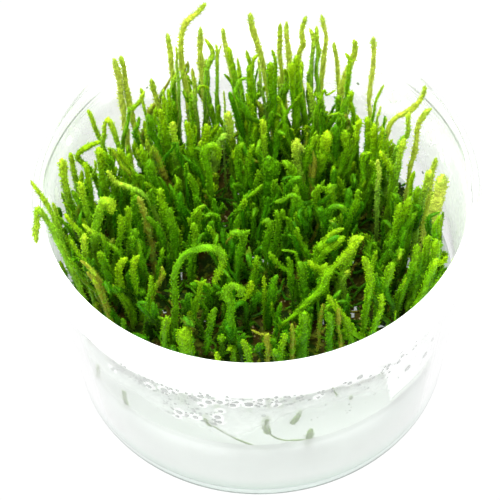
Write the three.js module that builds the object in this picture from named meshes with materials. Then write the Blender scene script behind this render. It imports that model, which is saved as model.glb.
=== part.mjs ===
// A clear plastic growing cup, open at the top, with a layer of clear jelly in its bottom and a dense
// stand of flame moss growing on the jelly. Millimetres, +Z up, the origin on the ground under the
// middle of the cup.
import * as THREE from "three";

// Driving dimensions of the cup
const CUP_HEIGHT = 58.5;
const FLANGE_RADIUS = 50;
const FLANGE_Z = 51;
const FLANGE_THICKNESS = 1.2;
const COLLAR_RADIUS = 49;
const RIM_INNER_RADIUS = 47.5;
const RIM_ROUNDING = 0.5;
const WALL = 1;
const WALL_TOP_RADIUS = 47.9;
const BASE_RADIUS = 44.4;
const CORNER_RADIUS = 4;
const FOOT_INNER_RADIUS = 34;
const FOOT_HEIGHT = 0.8;
const FOOT_ROUNDING = 0.7;
const CUP_SEGMENTS = 48;
const CORNER_STEPS = 3;

// Driving dimensions of the jelly
const GEL_TOP = 23.5;
const GEL_RIM_RISE = 0.9;
const GEL_RIM_WIDTH = 2.5;
const CLEARANCE = 0.3;

// The moss stands on the jelly and fans out from an upright line through FAN_CENTRE: for each
// millimetre that a clump rises, every point of it moves out by FAN of its distance from that line.
const MOSS_FOOT = GEL_TOP + CLEARANCE;
const FAN_CENTRE = new THREE.Vector2(-1, 5);
const FAN = 0.003;

// A clump is a bundle of shoots, narrow at its foot and rounded at its tips: shares of its
// radius and of its height, from the foot up
const CLUMP_SIDES = 8;
const CLUMP_OUTLINE = [[0.82, 0], [1, 0.3], [1, 0.72], [0.78, 0.92], [0.35, 1]];

// Tips stand highest at the back and along the sides, and lowest in front
const TIP_HEIGHT = 25;
const TIP_RISE_BACK = 0.0125;
const TIP_RISE_SIDE = 0.0065;
const TIP_FALL_FRONT = 0.3;

// Rows of clumps, from the front of the cup to its back: x, y and radius of each foot
const CLUMPS = [
  [-23.4, -10.6, 4], [-13, -13.5, 5.4], [0.5, -14, 5.4], [13.5, -13.5, 5.4], [26, -12, 5.4],
  [-32, -1, 5.4], [-19.5, -1.5, 5.4], [-7, -1.5, 5.4],
  [5.5, -1.5, 5.4], [18, -1.5, 5.4], [30.5, -0.5, 5.2],
  [-31, 11, 5.4], [-19, 10.5, 5.4], [-7, 10.5, 5.4],
  [5.5, 10.5, 5.4], [17.5, 10.5, 5.4], [29.5, 11, 5],
  [-24.5, 21.5, 5], [-12.5, 22.5, 5.4], [-0.5, 22.5, 5.4], [11.5, 22.5, 5.2], [22.5, 21.5, 4.6],
  [-17, 31.5, 3.4], [-6.5, 33, 4.6], [4.5, 33, 4.6],
];

// Shoots that stand apart from the clumps: each has a centre line from its foot to its tip
const SLENDER = 0.85;
const MEDIUM = 1;
const STOUT = 1.15;
const SHOOT_SIDES = 6;
const SHOOT_STEPS = 8;
const SHOOTS = {
  shoot_left_overhanging: {
    radius: MEDIUM,
    line: [[-39.5, -7, 24], [-41.8, -6, 36], [-43.6, -4.5, 48], [-45.4, -3, 57], [-48.5, -2, 65]],
  },
  shoot_left_drooping: {
    radius: MEDIUM,
    line: [[-37, -14.5, 24], [-40, -15, 46], [-43.5, -15.5, 65], [-45.5, -16, 72.5], [-47, -16, 61]],
  },
  shoot_left_slender: {
    radius: SLENDER,
    line: [[-40.5, -1.5, 24], [-43, -1.2, 36], [-45, 0.5, 53]],
  },
  shoot_left_stout: {
    radius: STOUT,
    line: [[-39.5, 3.5, 24], [-41, 4.2, 42], [-43, 6, 63]],
  },
  shoot_left_inner: {
    radius: MEDIUM,
    line: [[-38, 11, 24], [-40, 13, 40], [-41.5, 15.5, 53]],
  },
  shoot_left_hooked: {
    radius: MEDIUM,
    line: [[-34, 18, 24], [-36.5, 18.5, 38], [-39.5, 19, 47], [-38, 19, 50.5], [-33.5, 19, 54]],
  },
  shoot_left_leaning: {
    radius: MEDIUM,
    line: [[-32.5, 23, 24], [-34.5, 23.5, 44], [-36.6, 24, 53], [-38, 24.5, 58]],
  },
  shoot_back_left_pale: {
    radius: MEDIUM,
    line: [[-29.5, 29.8, 24], [-30.5, 32, 43], [-31.7, 34, 64.5]],
  },
  shoot_back_left_green: {
    radius: MEDIUM,
    line: [[-25.5, 31.5, 24], [-27.5, 33.5, 45], [-27.8, 35, 62]],
  },
  shoot_back_left_short: {
    radius: MEDIUM,
    line: [[-22, 35, 24], [-22.5, 36.5, 38], [-24, 38.5, 52]],
  },
  shoot_back_straight: {
    radius: MEDIUM,
    line: [[-18, 38, 24], [-18.3, 39.5, 44], [-19, 40.7, 64]],
  },
  shoot_back_bowed: {
    radius: MEDIUM,
    line: [[-14.8, 39, 24], [-15.6, 39.2, 42], [-16, 39.4, 58], [-14.5, 39.6, 69], [-9.5, 39.8, 75]],
  },
  shoot_back_tapering: {
    radius: MEDIUM,
    line: [[-11, 40.5, 24], [-11.8, 41.2, 44], [-11.3, 42, 65]],
  },
  shoot_back_pale: {
    radius: MEDIUM,
    line: [[-3.5, 41.5, 24], [-4.5, 42.5, 42], [-6.4, 43.8, 62]],
  },
  shoot_back_tall: {
    radius: MEDIUM,
    line: [[4.8, 41, 24], [3.6, 41.7, 41], [0.4, 42.7, 68]],
  },
  shoot_back_twin_left: {
    radius: SLENDER,
    line: [[8, 41.2, 24], [7.6, 42, 42], [7, 43, 64]],
  },
  shoot_back_twin_right: {
    radius: SLENDER,
    line: [[10.5, 38.8, 24], [9.8, 40.2, 44], [8.8, 41, 65]],
  },
  shoot_back_kinked: {
    radius: SLENDER,
    line: [[13, 40.4, 25], [11.8, 41.6, 42], [11.2, 42, 55], [13, 42.6, 66]],
  },
  shoot_back_curved: {
    radius: MEDIUM,
    line: [[15.8, 38.3, 24], [16.3, 38.9, 44], [17.6, 39.4, 60], [16.2, 39.6, 70]],
  },
  shoot_back_right_short: {
    radius: SLENDER,
    line: [[20.5, 36, 24], [20.5, 36.8, 44], [19.5, 37.8, 62]],
  },
  shoot_back_right_stout: {
    radius: STOUT,
    line: [[19.8, 31, 24], [22, 34, 42], [24, 37, 61]],
  },
  shoot_back_right_pale: {
    radius: MEDIUM,
    line: [[27.5, 29, 24], [27.3, 31.2, 46], [28, 33.5, 67]],
  },
  shoot_right_branched: {
    radius: MEDIUM,
    line: [[30, 19.8, 24], [31, 21, 44], [34.5, 22.3, 55], [37.6, 22.8, 58], [38.7, 23.2, 63]],
  },
  shoot_right_slender: {
    radius: SLENDER,
    line: [[36.3, 17, 24], [36.2, 18, 40], [37, 19, 52], [40, 19.5, 59.5]],
  },
  shoot_right_pale: {
    radius: STOUT,
    line: [[38, 0.5, 24], [38.6, 2.2, 42], [39.6, 4, 60.5]],
  },
  shoot_right_leaning: {
    radius: STOUT,
    line: [[36.8, -6, 24], [39.2, -5, 42], [42, -3, 60]],
  },
  shoot_front_looped: {
    radius: MEDIUM,
    line: [[-30, -12.5, 24], [-29.6, -12.5, 33], [-31.3, -12.5, 42], [-30, -12.5, 49.5], [-25.7, -12.5, 51]],
  },
  shoot_front_arched: {
    radius: STOUT,
    line: [[-20.5, -18.5, 24], [-19.5, -19, 42], [-17.5, -19, 55], [-12.5, -19, 59], [-8, -19, 55]],
  },
  shoot_front_curled: {
    radius: STOUT,
    line: [[-7, -23.3, 24], [-7, -23.3, 38], [-7, -23.3, 49], [-4.8, -23.3, 53.5], [-3, -23.3, 50]],
  },
  shoot_front_diagonal: {
    radius: MEDIUM,
    line: [[2, -22, 24], [5, -22, 35], [12.5, -22, 49], [18.5, -22, 60]],
  },
  shoot_front_leaning: {
    radius: MEDIUM,
    line: [[24.5, -23, 24.5], [21.5, -23, 32], [15.7, -23, 45]],
  },
  shoot_front_forked: {
    radius: MEDIUM,
    line: [[24, -19.8, 24], [24, -19.8, 40], [23, -19.8, 55]],
  },
};

const plastic = new THREE.MeshStandardMaterial({ color: "#eef3f1", roughness: 0.12, metalness: 0 });
plastic.transparent = true;
plastic.opacity = 0.35;
const jelly = new THREE.MeshStandardMaterial({ color: "#dfeae2", roughness: 0.2, metalness: 0 });
const clumpGreen = new THREE.MeshStandardMaterial({ color: "#3f7d12", roughness: 0.6, metalness: 0 });
const shootGreen = new THREE.MeshStandardMaterial({ color: "#86b81c", roughness: 0.6, metalness: 0 });

function point(radius, z) {
  return new THREE.Vector2(radius, z);
}

// A quarter circle about (cx, cz) in a profile, between two angles in degrees
function corner(cx, cz, radius, from, to) {
  const points = [];
  for (let i = 0; i <= CORNER_STEPS; i += 1) {
    const angle = THREE.MathUtils.degToRad(from + ((to - from) * i) / CORNER_STEPS);
    points.push(point(cx + radius * Math.cos(angle), cz + radius * Math.sin(angle)));
  }
  return points;
}

// The wall leans out: the cup's outer radius at a height between the foot and the flange
function wallRadius(z) {
  const up = (z - CORNER_RADIUS) / (FLANGE_Z - CORNER_RADIUS);
  return THREE.MathUtils.lerp(BASE_RADIUS, WALL_TOP_RADIUS, up);
}

// Turns a profile of points about the upright axis
function turned(profile, segments) {
  return new THREE.LatheGeometry(profile, segments).rotateX(Math.PI / 2);
}

// The profile runs under the base, up the outside, over the rim and back down the inside
function cupProfile() {
  const floor = FOOT_HEIGHT + WALL;
  const inner = CORNER_RADIUS - WALL;
  const flangeTop = FLANGE_Z + FLANGE_THICKNESS;
  return [
    point(0, FOOT_HEIGHT),
    point(FOOT_INNER_RADIUS - FOOT_HEIGHT, FOOT_HEIGHT),
    point(FOOT_INNER_RADIUS, 0),
    point(wallRadius(0) - FOOT_ROUNDING, 0),
    point(wallRadius(FOOT_ROUNDING), FOOT_ROUNDING),
    point(WALL_TOP_RADIUS, FLANGE_Z),
    point(FLANGE_RADIUS, FLANGE_Z),
    point(FLANGE_RADIUS, flangeTop),
    point(COLLAR_RADIUS, flangeTop),
    point(COLLAR_RADIUS, CUP_HEIGHT - RIM_ROUNDING),
    point(COLLAR_RADIUS - RIM_ROUNDING, CUP_HEIGHT),
    point(RIM_INNER_RADIUS, CUP_HEIGHT),
    point(RIM_INNER_RADIUS, flangeTop),
    point(WALL_TOP_RADIUS - WALL, FLANGE_Z - WALL),
    ...corner(BASE_RADIUS - CORNER_RADIUS, floor + inner, inner, 0, -90),
    point(0, floor),
  ];
}

// The jelly fills the cup to GEL_TOP and climbs a little where it meets the wall
function gelProfile() {
  const low = FOOT_HEIGHT + WALL + CLEARANCE;
  const round = CORNER_RADIUS - WALL - CLEARANCE;
  const rim = wallRadius(GEL_TOP) - WALL - CLEARANCE;
  return [
    point(0, low),
    ...corner(BASE_RADIUS - CORNER_RADIUS, low + round, round, -90, 0),
    point(rim, GEL_TOP + GEL_RIM_RISE),
    point(rim - GEL_RIM_WIDTH / 2, GEL_TOP + GEL_RIM_RISE / 4),
    point(rim - GEL_RIM_WIDTH, GEL_TOP),
    point(0, GEL_TOP),
  ];
}

// How far a clump at this place reaches above its foot
function tipHeight(x, y) {
  const back = Math.max(y, 0);
  const front = Math.max(-y, 0);
  return TIP_HEIGHT + TIP_RISE_BACK * back * back + TIP_RISE_SIDE * x * x - TIP_FALL_FRONT * front;
}

// A clump widens and leans as it rises, at the same rate as its neighbours, so they stay apart
function clump(x, y, radius) {
  const height = tipHeight(x, y);
  const outline = CLUMP_OUTLINE.map(([width, up]) => {
    const z = up * height;
    return point(radius * width * (1 + FAN * z), z);
  });
  const geometry = turned([point(0, 0), ...outline, point(0, height)], CLUMP_SIDES);
  const leanX = FAN * (x - FAN_CENTRE.x);
  const leanY = FAN * (y - FAN_CENTRE.y);
  return geometry.applyMatrix4(new THREE.Matrix4().makeShear(0, 0, 0, 0, leanX, leanY));
}

// A round shoot drawn along a smooth line through its points
function shoot({ radius, line }) {
  const section = new THREE.Shape(
    Array.from({ length: SHOOT_SIDES }, (_, side) => {
      const angle = (2 * Math.PI * side) / SHOOT_SIDES;
      return point(radius * Math.cos(angle), radius * Math.sin(angle));
    }),
  );
  const path = new THREE.CatmullRomCurve3(line.map((place) => new THREE.Vector3(...place)));
  return new THREE.ExtrudeGeometry(section, {
    steps: SHOOT_STEPS,
    extrudePath: path,
    bevelEnabled: false,
  });
}

function named(name, geometry, material) {
  const mesh = new THREE.Mesh(geometry, material);
  mesh.name = name;
  return mesh;
}

const pot = new THREE.Group();
pot.add(named("cup", turned(cupProfile(), CUP_SEGMENTS), plastic));
pot.add(named("gel", turned(gelProfile(), CUP_SEGMENTS), jelly));

const moss = new THREE.Group();
CLUMPS.forEach(([x, y, radius], index) => {
  const mesh = named(`moss_clump_${index + 1}`, clump(x, y, radius), clumpGreen);
  mesh.position.set(x, y, MOSS_FOOT);
  moss.add(mesh);
});
Object.entries(SHOOTS).forEach(([name, details]) => {
  moss.add(named(name, shoot(details), shootGreen));
});

const pottedMoss = new THREE.Group();
pottedMoss.add(pot, moss);

export default pottedMoss;
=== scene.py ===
# %% [markdown]
# # Potted flame moss
#
# A clear plastic growing cup stands open on a white table. A slab of clear jelly fills its lower half, and a dense
# stand of flame moss grows upright on the jelly, with its tips above the rim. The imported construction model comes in
# first, as a fixed frame: it says where the cup, the jelly, every clump of moss and every separate shoot is. Each
# cell after that makes one real piece, or one finish, in its place.

import math

import bmesh
import bpy
import numpy as np
from mathutils import Matrix, Vector, noise


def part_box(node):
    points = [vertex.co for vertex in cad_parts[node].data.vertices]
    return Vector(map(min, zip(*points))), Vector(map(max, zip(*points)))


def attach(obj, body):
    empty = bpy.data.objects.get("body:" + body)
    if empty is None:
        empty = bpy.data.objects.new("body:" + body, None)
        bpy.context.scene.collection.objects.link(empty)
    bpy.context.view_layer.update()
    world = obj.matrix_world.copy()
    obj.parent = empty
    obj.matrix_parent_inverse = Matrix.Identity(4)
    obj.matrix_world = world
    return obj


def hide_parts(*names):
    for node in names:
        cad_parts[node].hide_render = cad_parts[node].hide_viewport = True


MM = 0.001

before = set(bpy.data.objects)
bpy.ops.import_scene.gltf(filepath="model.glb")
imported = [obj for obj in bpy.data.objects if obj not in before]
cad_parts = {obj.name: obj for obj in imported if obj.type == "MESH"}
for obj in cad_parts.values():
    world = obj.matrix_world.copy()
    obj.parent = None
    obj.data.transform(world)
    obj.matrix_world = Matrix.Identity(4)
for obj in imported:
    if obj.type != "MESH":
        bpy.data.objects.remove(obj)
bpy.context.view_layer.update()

# %% [markdown]
# ## The camera
#
# The photograph looks down into the cup at a bit over fifty degrees. A camera can be placed by eye, but then no
# pixel of the photograph says where a shoot stands. This one was fitted to the ellipses of the rim, the jelly and
# the base, so a pixel of the 500 px photograph gives a sight line in the frame, and the shoots can be traced.

# %% Camera fitted to the photograph
PHOTO_SIDE = 500
FOCAL_LENGTH_PX = 1983.7
SENSOR = 36.0
EYE = np.array([0.0, -274.07, 395.02])
AIM = np.array([-1.82, 0.0, 34.84])
ROLL = math.radians(-2.4)

forward = (AIM - EYE) / np.linalg.norm(AIM - EYE)
level = np.cross(forward, (0.0, 0.0, 1.0))
level /= np.linalg.norm(level)
upright = np.cross(level, forward)
right = math.cos(ROLL) * level + math.sin(ROLL) * upright
up = math.cos(ROLL) * upright - math.sin(ROLL) * level

lens = bpy.data.cameras.new("camera")
lens.lens = FOCAL_LENGTH_PX / PHOTO_SIDE * SENSOR
lens.sensor_width = SENSOR
lens.clip_start = 0.01
camera = bpy.data.objects.new("camera", lens)
turn = Matrix((right, up, -forward)).transposed().to_4x4()
camera.matrix_world = Matrix.Translation(Vector(EYE) * MM) @ turn
bpy.context.scene.collection.objects.link(camera)
bpy.context.scene.camera = camera
print("camera: lens", round(lens.lens, 1), "mm")


def sight_line(pixel):
    """The direction from the camera through a pixel of the photograph, in millimetres of the frame."""
    across, down = pixel[0] - PHOTO_SIDE / 2, pixel[1] - PHOTO_SIDE / 2
    return forward + (right * across - up * down) / FOCAL_LENGTH_PX


def seen_at_height(pixel, z):
    """The point at height z that the photograph shows at a pixel."""
    line = sight_line(pixel)
    return EYE + line * (z - EYE[2]) / line[2]


def photo_pixels(points):
    """Where the photograph shows points: pixels across and pixels down."""
    reach = np.asarray(points) - EYE
    scale = FOCAL_LENGTH_PX / (reach @ forward)
    return PHOTO_SIDE / 2 + reach @ right * scale, PHOTO_SIDE / 2 - reach @ up * scale


# %% [markdown]
# ## Table and light
#
# The cup was photographed on a white sweep under large soft lamps, so strongly lit that the table is pure white and
# throws light up through the jelly. A white plane that glows a little gives that. The sky round it is white above and
# greyer near the horizon: clear plastic has no colour of its own, and shows only where its edges mirror something
# darker.

# %% Table, sky and lamp
WHITE, BLACK = (1, 1, 1, 1), (0, 0, 0, 1)
TABLE_SIDE = 3.0
TABLE_DROP = 0.1
TABLE_COLOUR = (0.85, 0.85, 0.85, 1)
TABLE_GLOW = 1.03
SKY_STRENGTH = 1.9
SKY_STOPS = ((0.02, (0.38, 0.38, 0.38, 1)), (0.7, WHITE))
SOFTBOX_SIDES = (0.5, 0.35)
SOFTBOX_POWER = 5.0
SOFTBOX_PLACE = (-0.12, 0.10, 0.62)
SOFTBOX_AIM = (0, 0, 0.04)
LIGHT_BOUNCES = 24


def add_node(tree, kind, inputs=None, **settings):
    """A node with its settings made and its sockets filled by a value or by another node's output."""
    made = tree.nodes.new(kind)
    for name, value in settings.items():
        setattr(made, name, value)
    for name, value in (inputs or {}).items():
        if isinstance(value, bpy.types.NodeSocket):
            tree.links.new(value, made.inputs[name])
        else:
            made.inputs[name].default_value = value
    return made


def new_material(name):
    """A material with its first nodes taken out, and its output node."""
    material = bpy.data.materials.new(name)
    material.use_nodes = True
    material.node_tree.nodes.clear()
    return material, material.node_tree, material.node_tree.nodes.new("ShaderNodeOutputMaterial")


def colour_mix(tree, factor, first, second):
    """A mix of two colours; the sockets of this node are picked by number, for it has some names more than once."""
    return add_node(tree, "ShaderNodeMix", {0: factor, 6: first, 7: second}, data_type="RGBA").outputs[2]


def ramp_value(tree, value, low, high, to_low=0.0, to_high=1.0):
    """A value eased from one range to another."""
    inputs = {"Value": value, "From Min": low, "From Max": high, "To Min": to_low, "To Max": to_high}
    return add_node(tree, "ShaderNodeMapRange", inputs, interpolation_type="SMOOTHSTEP").outputs[0]


def product(tree, first, second, clamped=False):
    """One value times another."""
    return add_node(tree, "ShaderNodeMath", {0: first, 1: second}, operation="MULTIPLY", use_clamp=clamped).outputs[0]


def brighten(tree, colour, value, hue=0.5, saturation=1.0):
    """A colour made brighter or darker by a value, and turned in hue and saturation too."""
    inputs = {"Hue": hue, "Saturation": saturation, "Value": value, "Color": colour}
    return add_node(tree, "ShaderNodeHueSaturation", inputs).outputs[0]


def object_coords(tree):
    """The object's own coordinates."""
    return tree.nodes.new("ShaderNodeTexCoord").outputs["Object"]


def object_noise(tree, scale, detail=2.0):
    """The value of a noise texture in the object's own coordinates."""
    inputs = {"Vector": object_coords(tree), "Scale": scale, "Detail": detail}
    return add_node(tree, "ShaderNodeTexNoise", inputs).outputs[0]


def bump_normal(tree, height, strength, distance):
    """The normal of a bump map of a height, which is distance millimetres deep."""
    inputs = {"Height": height, "Strength": strength, "Distance": distance * MM}
    return add_node(tree, "ShaderNodeBump", inputs).outputs[0]


def principled(tree, inputs):
    """A principled shader with its sockets filled."""
    return add_node(tree, "ShaderNodeBsdfPrincipled", inputs).outputs[0]


def shader_mix(tree, factor, first, second):
    """A mix of two shaders."""
    return add_node(tree, "ShaderNodeMixShader", {0: factor, 1: first, 2: second}).outputs[0]


bm = bmesh.new()
bmesh.ops.create_grid(bm, x_segments=1, y_segments=1, size=TABLE_SIDE / 2)
bmesh.ops.translate(bm, verts=bm.verts, vec=(0, 0, -TABLE_DROP * MM))
table_mesh = bpy.data.meshes.new("table")
bm.to_mesh(table_mesh)
bm.free()
table = bpy.data.objects.new("table", table_mesh)
bpy.context.scene.collection.objects.link(table)

white, tree, output = new_material("white_table")
lit = principled(tree, {"Base Color": TABLE_COLOUR, "Roughness": 0.6})
overexposed = add_node(tree, "ShaderNodeEmission", {"Color": WHITE, "Strength": TABLE_GLOW}).outputs[0]
path = tree.nodes.new("ShaderNodeLightPath")
tree.links.new(shader_mix(tree, path.outputs["Is Diffuse Ray"], overexposed, lit), output.inputs[0])
table_mesh.materials.append(white)

sky = bpy.data.worlds.new("studio")
sky.use_nodes = True
tree = sky.node_tree
direction = tree.nodes.new("ShaderNodeTexCoord")
height = add_node(tree, "ShaderNodeSeparateXYZ", {"Vector": direction.outputs["Generated"]})
shade = add_node(tree, "ShaderNodeValToRGB", {"Fac": height.outputs["Z"]})
for element, (position, colour) in zip(shade.color_ramp.elements, SKY_STOPS):
    element.position, element.color = position, colour
path = tree.nodes.new("ShaderNodeLightPath")
seen = colour_mix(tree, path.outputs["Is Diffuse Ray"], (1 / SKY_STRENGTH,) * 3 + (1,), shade.outputs["Color"])
background = tree.nodes["Background"]
background.inputs["Strength"].default_value = SKY_STRENGTH
tree.links.new(seen, background.inputs["Color"])
bpy.context.scene.world = sky

softbox = bpy.data.lights.new("softbox", "AREA")
softbox.shape = "RECTANGLE"
softbox.size, softbox.size_y = SOFTBOX_SIDES
softbox.energy = SOFTBOX_POWER
lamp = bpy.data.objects.new("softbox", softbox)
lamp.location = SOFTBOX_PLACE
lamp.rotation_euler = (Vector(SOFTBOX_AIM) - lamp.location).to_track_quat("-Z", "Y").to_euler()
bpy.context.scene.collection.objects.link(lamp)
bpy.context.scene.view_settings.view_transform = "Standard"
for kind in ("max_bounces", "transmission_bounces", "transparent_max_bounces"):
    setattr(bpy.context.scene.cycles, kind, LIGHT_BOUNCES)
print("table, sky and softbox in place")

# %% [markdown]
# ## The cup
#
# The cup is one thin moulding: a base with a foot ring, a wall that widens a little upwards, a flange, and a collar
# that the lid would snap over. Anything turned like this is half a cross-section spun about its axis. Only the
# corners of the section are drawn; after the spin, bevels on the ring edges give the small radii inside the base, at
# the foot and at the rim that catch the light, as the mould has them.

# %% Cup spun from its section
TURN_STEPS = 168
CUP_SECTION = (
    (0, 0.8),
    (33.2, 0.8),
    (34, 0),
    (44.06, 0),
    (47.9, 51),
    (50, 51),
    (50, 52.2),
    (49, 52.2),
    (49, 58.5),
    (47.5, 58.5),
    (47.5, 52.2),
    (46.9, 50),
    (43.26, 1.8),
    (0, 1.8),
)
WALL_RADII, WALL_HEIGHTS = zip(*CUP_SECTION[12:8:-1])
INSIDE_CORNER, FOOT_CORNER, RIM_CORNERS = CUP_SECTION[12], CUP_SECTION[3], CUP_SECTION[5:11]
INSIDE_BEVEL, FOOT_BEVEL, RIM_BEVEL = 0.9, 0.6, 0.28
SAME_PLACE = 0.02


def wall_radius(z):
    """Radius of the inside of the wall at a height, in millimetres."""
    return np.interp(z, WALL_HEIGHTS, WALL_RADII)


def spin_section(section, steps=TURN_STEPS):
    """A bmesh of a section of (radius, height) points in millimetres, spun about the Z axis and closed at it."""
    bm = bmesh.new()
    verts = [bm.verts.new((radius * MM, 0, height * MM)) for radius, height in section]
    edges = [bm.edges.new(pair) for pair in zip(verts, verts[1:])]
    bmesh.ops.spin(
        bm,
        geom=verts + edges,
        cent=(0, 0, 0),
        axis=(0, 0, 1),
        angle=math.tau,
        steps=steps,
        use_merge=True,
        use_duplicate=False,
    )
    bmesh.ops.remove_doubles(bm, verts=bm.verts, dist=0.01 * MM)
    bmesh.ops.recalc_face_normals(bm, faces=bm.faces)
    return bm


def round_rings(bm, corners, offset, segments):
    """Bevels the ring edges that pass through the given (radius, height) corners, in millimetres."""
    rings = []
    for edge in bm.edges:
        ends = [(Vector(v.co.xy).length / MM, v.co.z / MM) for v in edge.verts]
        for corner in corners:
            if all(math.dist(end, corner) < SAME_PLACE for end in ends):
                rings.append(edge)
                break
    bmesh.ops.bevel(
        bm,
        geom=rings,
        offset=offset * MM,
        offset_type="OFFSET",
        affect="EDGES",
        segments=segments,
        profile=0.5,
        material=-1,
    )


def finish_piece(name, bm, material, slot, *nodes):
    """Makes a smooth piece of a bmesh."""
    for face in bm.faces:
        face.smooth = True
    mesh = bpy.data.meshes.new(name)
    bm.to_mesh(mesh)
    bm.free()
    place_piece(name, mesh, material, slot, *nodes)


def place_piece(name, mesh, material, slot, *nodes):
    """Links a mesh as a piece that rides on the cup's body, in place of the given CAD nodes."""
    mesh.materials.append(material)
    piece = bpy.data.objects.new(name, mesh)
    bpy.context.scene.collection.objects.link(piece)
    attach(piece, "root")
    if nodes:
        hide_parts(*nodes)


cup = spin_section(CUP_SECTION)
round_rings(cup, [INSIDE_CORNER], INSIDE_BEVEL, 4)
round_rings(cup, [FOOT_CORNER], FOOT_BEVEL, 3)
round_rings(cup, RIM_CORNERS, RIM_BEVEL, 3)
print("cup:", len(cup.faces), "faces")

# %% [markdown]
# ### Clear plastic
#
# The plastic is a clear, faintly green moulding: a glass-like shader with the index of polystyrene and a trace of
# waviness from the mould. Light that a lamp sends through such a thin wall would count as blocked by the glass shader,
# so rays to the lamps pass through a plain transparent one, which the light path picks. The collar and the flange are
# thicker and catch so much of the lamps' light that they look pure white in front and at the back, and only a pale
# grey at the sides. That light is painted here: a painted glow in front and at the back, and a greyer tint at the
# sides as painted shade. The foot is thick too, and seen edge on, so it is a deeper green.

# %% Clear plastic material
PLASTIC_TINT = (0.955, 0.961, 0.956, 1)
FOOT_TINT = (0.71, 0.83, 0.77, 1)
SIDE_PAINTED_SHADE = (0.88, 0.895, 0.87, 1)
FOOT_HEIGHT = 8.0
PLASTIC_IOR = 1.5
GLOW_FROM, GLOW_TO = 49.4, 50.8
GLOW_FRONT, GLOW_BACK = (-20.0, 0.0), (28.0, 40.0)
GLOW_AT_SIDES = 0.15
COLLAR_PAINTED_GLOW = 0.45


def let_lamps_through(tree, output, shader, tint):
    """Joins a clear shader to the output, with plain transparency in its place for rays towards the lamps."""
    path = tree.nodes.new("ShaderNodeLightPath")
    open_air = add_node(tree, "ShaderNodeBsdfTransparent", {"Color": tint}).outputs[0]
    tree.links.new(shader_mix(tree, path.outputs["Is Shadow Ray"], shader, open_air), output.inputs[0])


plastic, tree, output = new_material("clear_moulded_plastic")
flow = object_noise(tree, 55.0)
haze = add_node(tree, "ShaderNodeMapRange", {"Value": flow, "To Min": 0.01, "To Max": 0.06})
place = add_node(tree, "ShaderNodeSeparateXYZ", {"Vector": object_coords(tree)}).outputs
# Painted light: the collar glows in front and at the back, and its tint is painted greyer at the sides as painted
# shade.
in_front = ramp_value(tree, place["Y"], GLOW_FRONT[0] * MM, GLOW_FRONT[1] * MM, 1.0, GLOW_AT_SIDES)
at_back = ramp_value(tree, place["Y"], GLOW_BACK[0] * MM, GLOW_BACK[1] * MM, 0.0, 1.0)
off_sides = add_node(tree, "ShaderNodeMath", {0: in_front, 1: at_back}, operation="MAXIMUM").outputs[0]
collar = ramp_value(tree, place["Z"], GLOW_FROM * MM, GLOW_TO * MM)
collar_painted_glow = ramp_value(tree, place["Z"], GLOW_FROM * MM, GLOW_TO * MM, 0.0, off_sides)
collar_painted_shade = colour_mix(tree, off_sides, SIDE_PAINTED_SHADE, PLASTIC_TINT)
upper_tint_and_shade = colour_mix(tree, collar, PLASTIC_TINT, collar_painted_shade)
above_foot = ramp_value(tree, place["Z"], 0.0, FOOT_HEIGHT * MM)
clear = principled(
    tree,
    {
        "Base Color": colour_mix(tree, above_foot, FOOT_TINT, upper_tint_and_shade),
        "Roughness": haze.outputs[0],
        "IOR": PLASTIC_IOR,
        "Transmission Weight": 1.0,
        "Emission Color": colour_mix(tree, collar_painted_glow, BLACK, WHITE),
        "Emission Strength": COLLAR_PAINTED_GLOW,
        "Normal": bump_normal(tree, flow, 0.06, 0.4),
    },
)
let_lamps_through(tree, output, clear, PLASTIC_TINT)
finish_piece("growing_cup", cup, plastic, "clear_plastic", "cup")

# %% [markdown]
# ## The jelly
#
# The jelly was poured in warm and set: a slab with the inside shape of the cup, and a rim that creeps a little way up
# the wall. It is spun like the cup, with a hair of room to the plastic. It is mostly water, so it bends light less
# than the plastic. Fine bubbles and starch make it milky: they take a share of the light that comes straight through
# and give it back evenly. A volume would do that at a high price; half clear, half matt with a faint glow is close.
# Its upper skin is painted darker: painted shade and green reflection from the moss above it.

# %% Jelly
JELLY_CREEP = 0.9
JELLY_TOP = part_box("gel")[1].z / MM - JELLY_CREEP
JELLY_ROOM = 0.06
JELLY_BEVEL = 0.95
JELLY_SECTION = (
    (0, INSIDE_CORNER[1] + JELLY_ROOM),
    (INSIDE_CORNER[0] - JELLY_ROOM, INSIDE_CORNER[1] + JELLY_ROOM),
    (44.97 - JELLY_ROOM, JELLY_TOP + JELLY_CREEP),
    (44.1, JELLY_TOP + 0.35),
    (42.9, JELLY_TOP + 0.08),
    (41.0, JELLY_TOP),
    (0, JELLY_TOP),
)
JELLY_TINT = (0.72, 0.755, 0.73, 1)
JELLY_TOP_PAINTED_SHADE = (0.5, 0.545, 0.505, 1)
JELLY_SKIN = (2.5, 0.3)
JELLY_CLEARNESS = 0.5
JELLY_GLOW = 0.1
JELLY_GLOW_COLOUR = (0.96, 1.0, 0.965, 1)
WATER_IOR = 1.335

jelly = spin_section(JELLY_SECTION)
round_rings(jelly, [JELLY_SECTION[1]], JELLY_BEVEL, 4)
print("jelly:", len(jelly.faces), "faces, top at", round(JELLY_TOP, 2), "mm")

set_jelly, tree, output = new_material("set_jelly")
place = add_node(tree, "ShaderNodeSeparateXYZ", {"Vector": object_coords(tree)}).outputs
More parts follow.
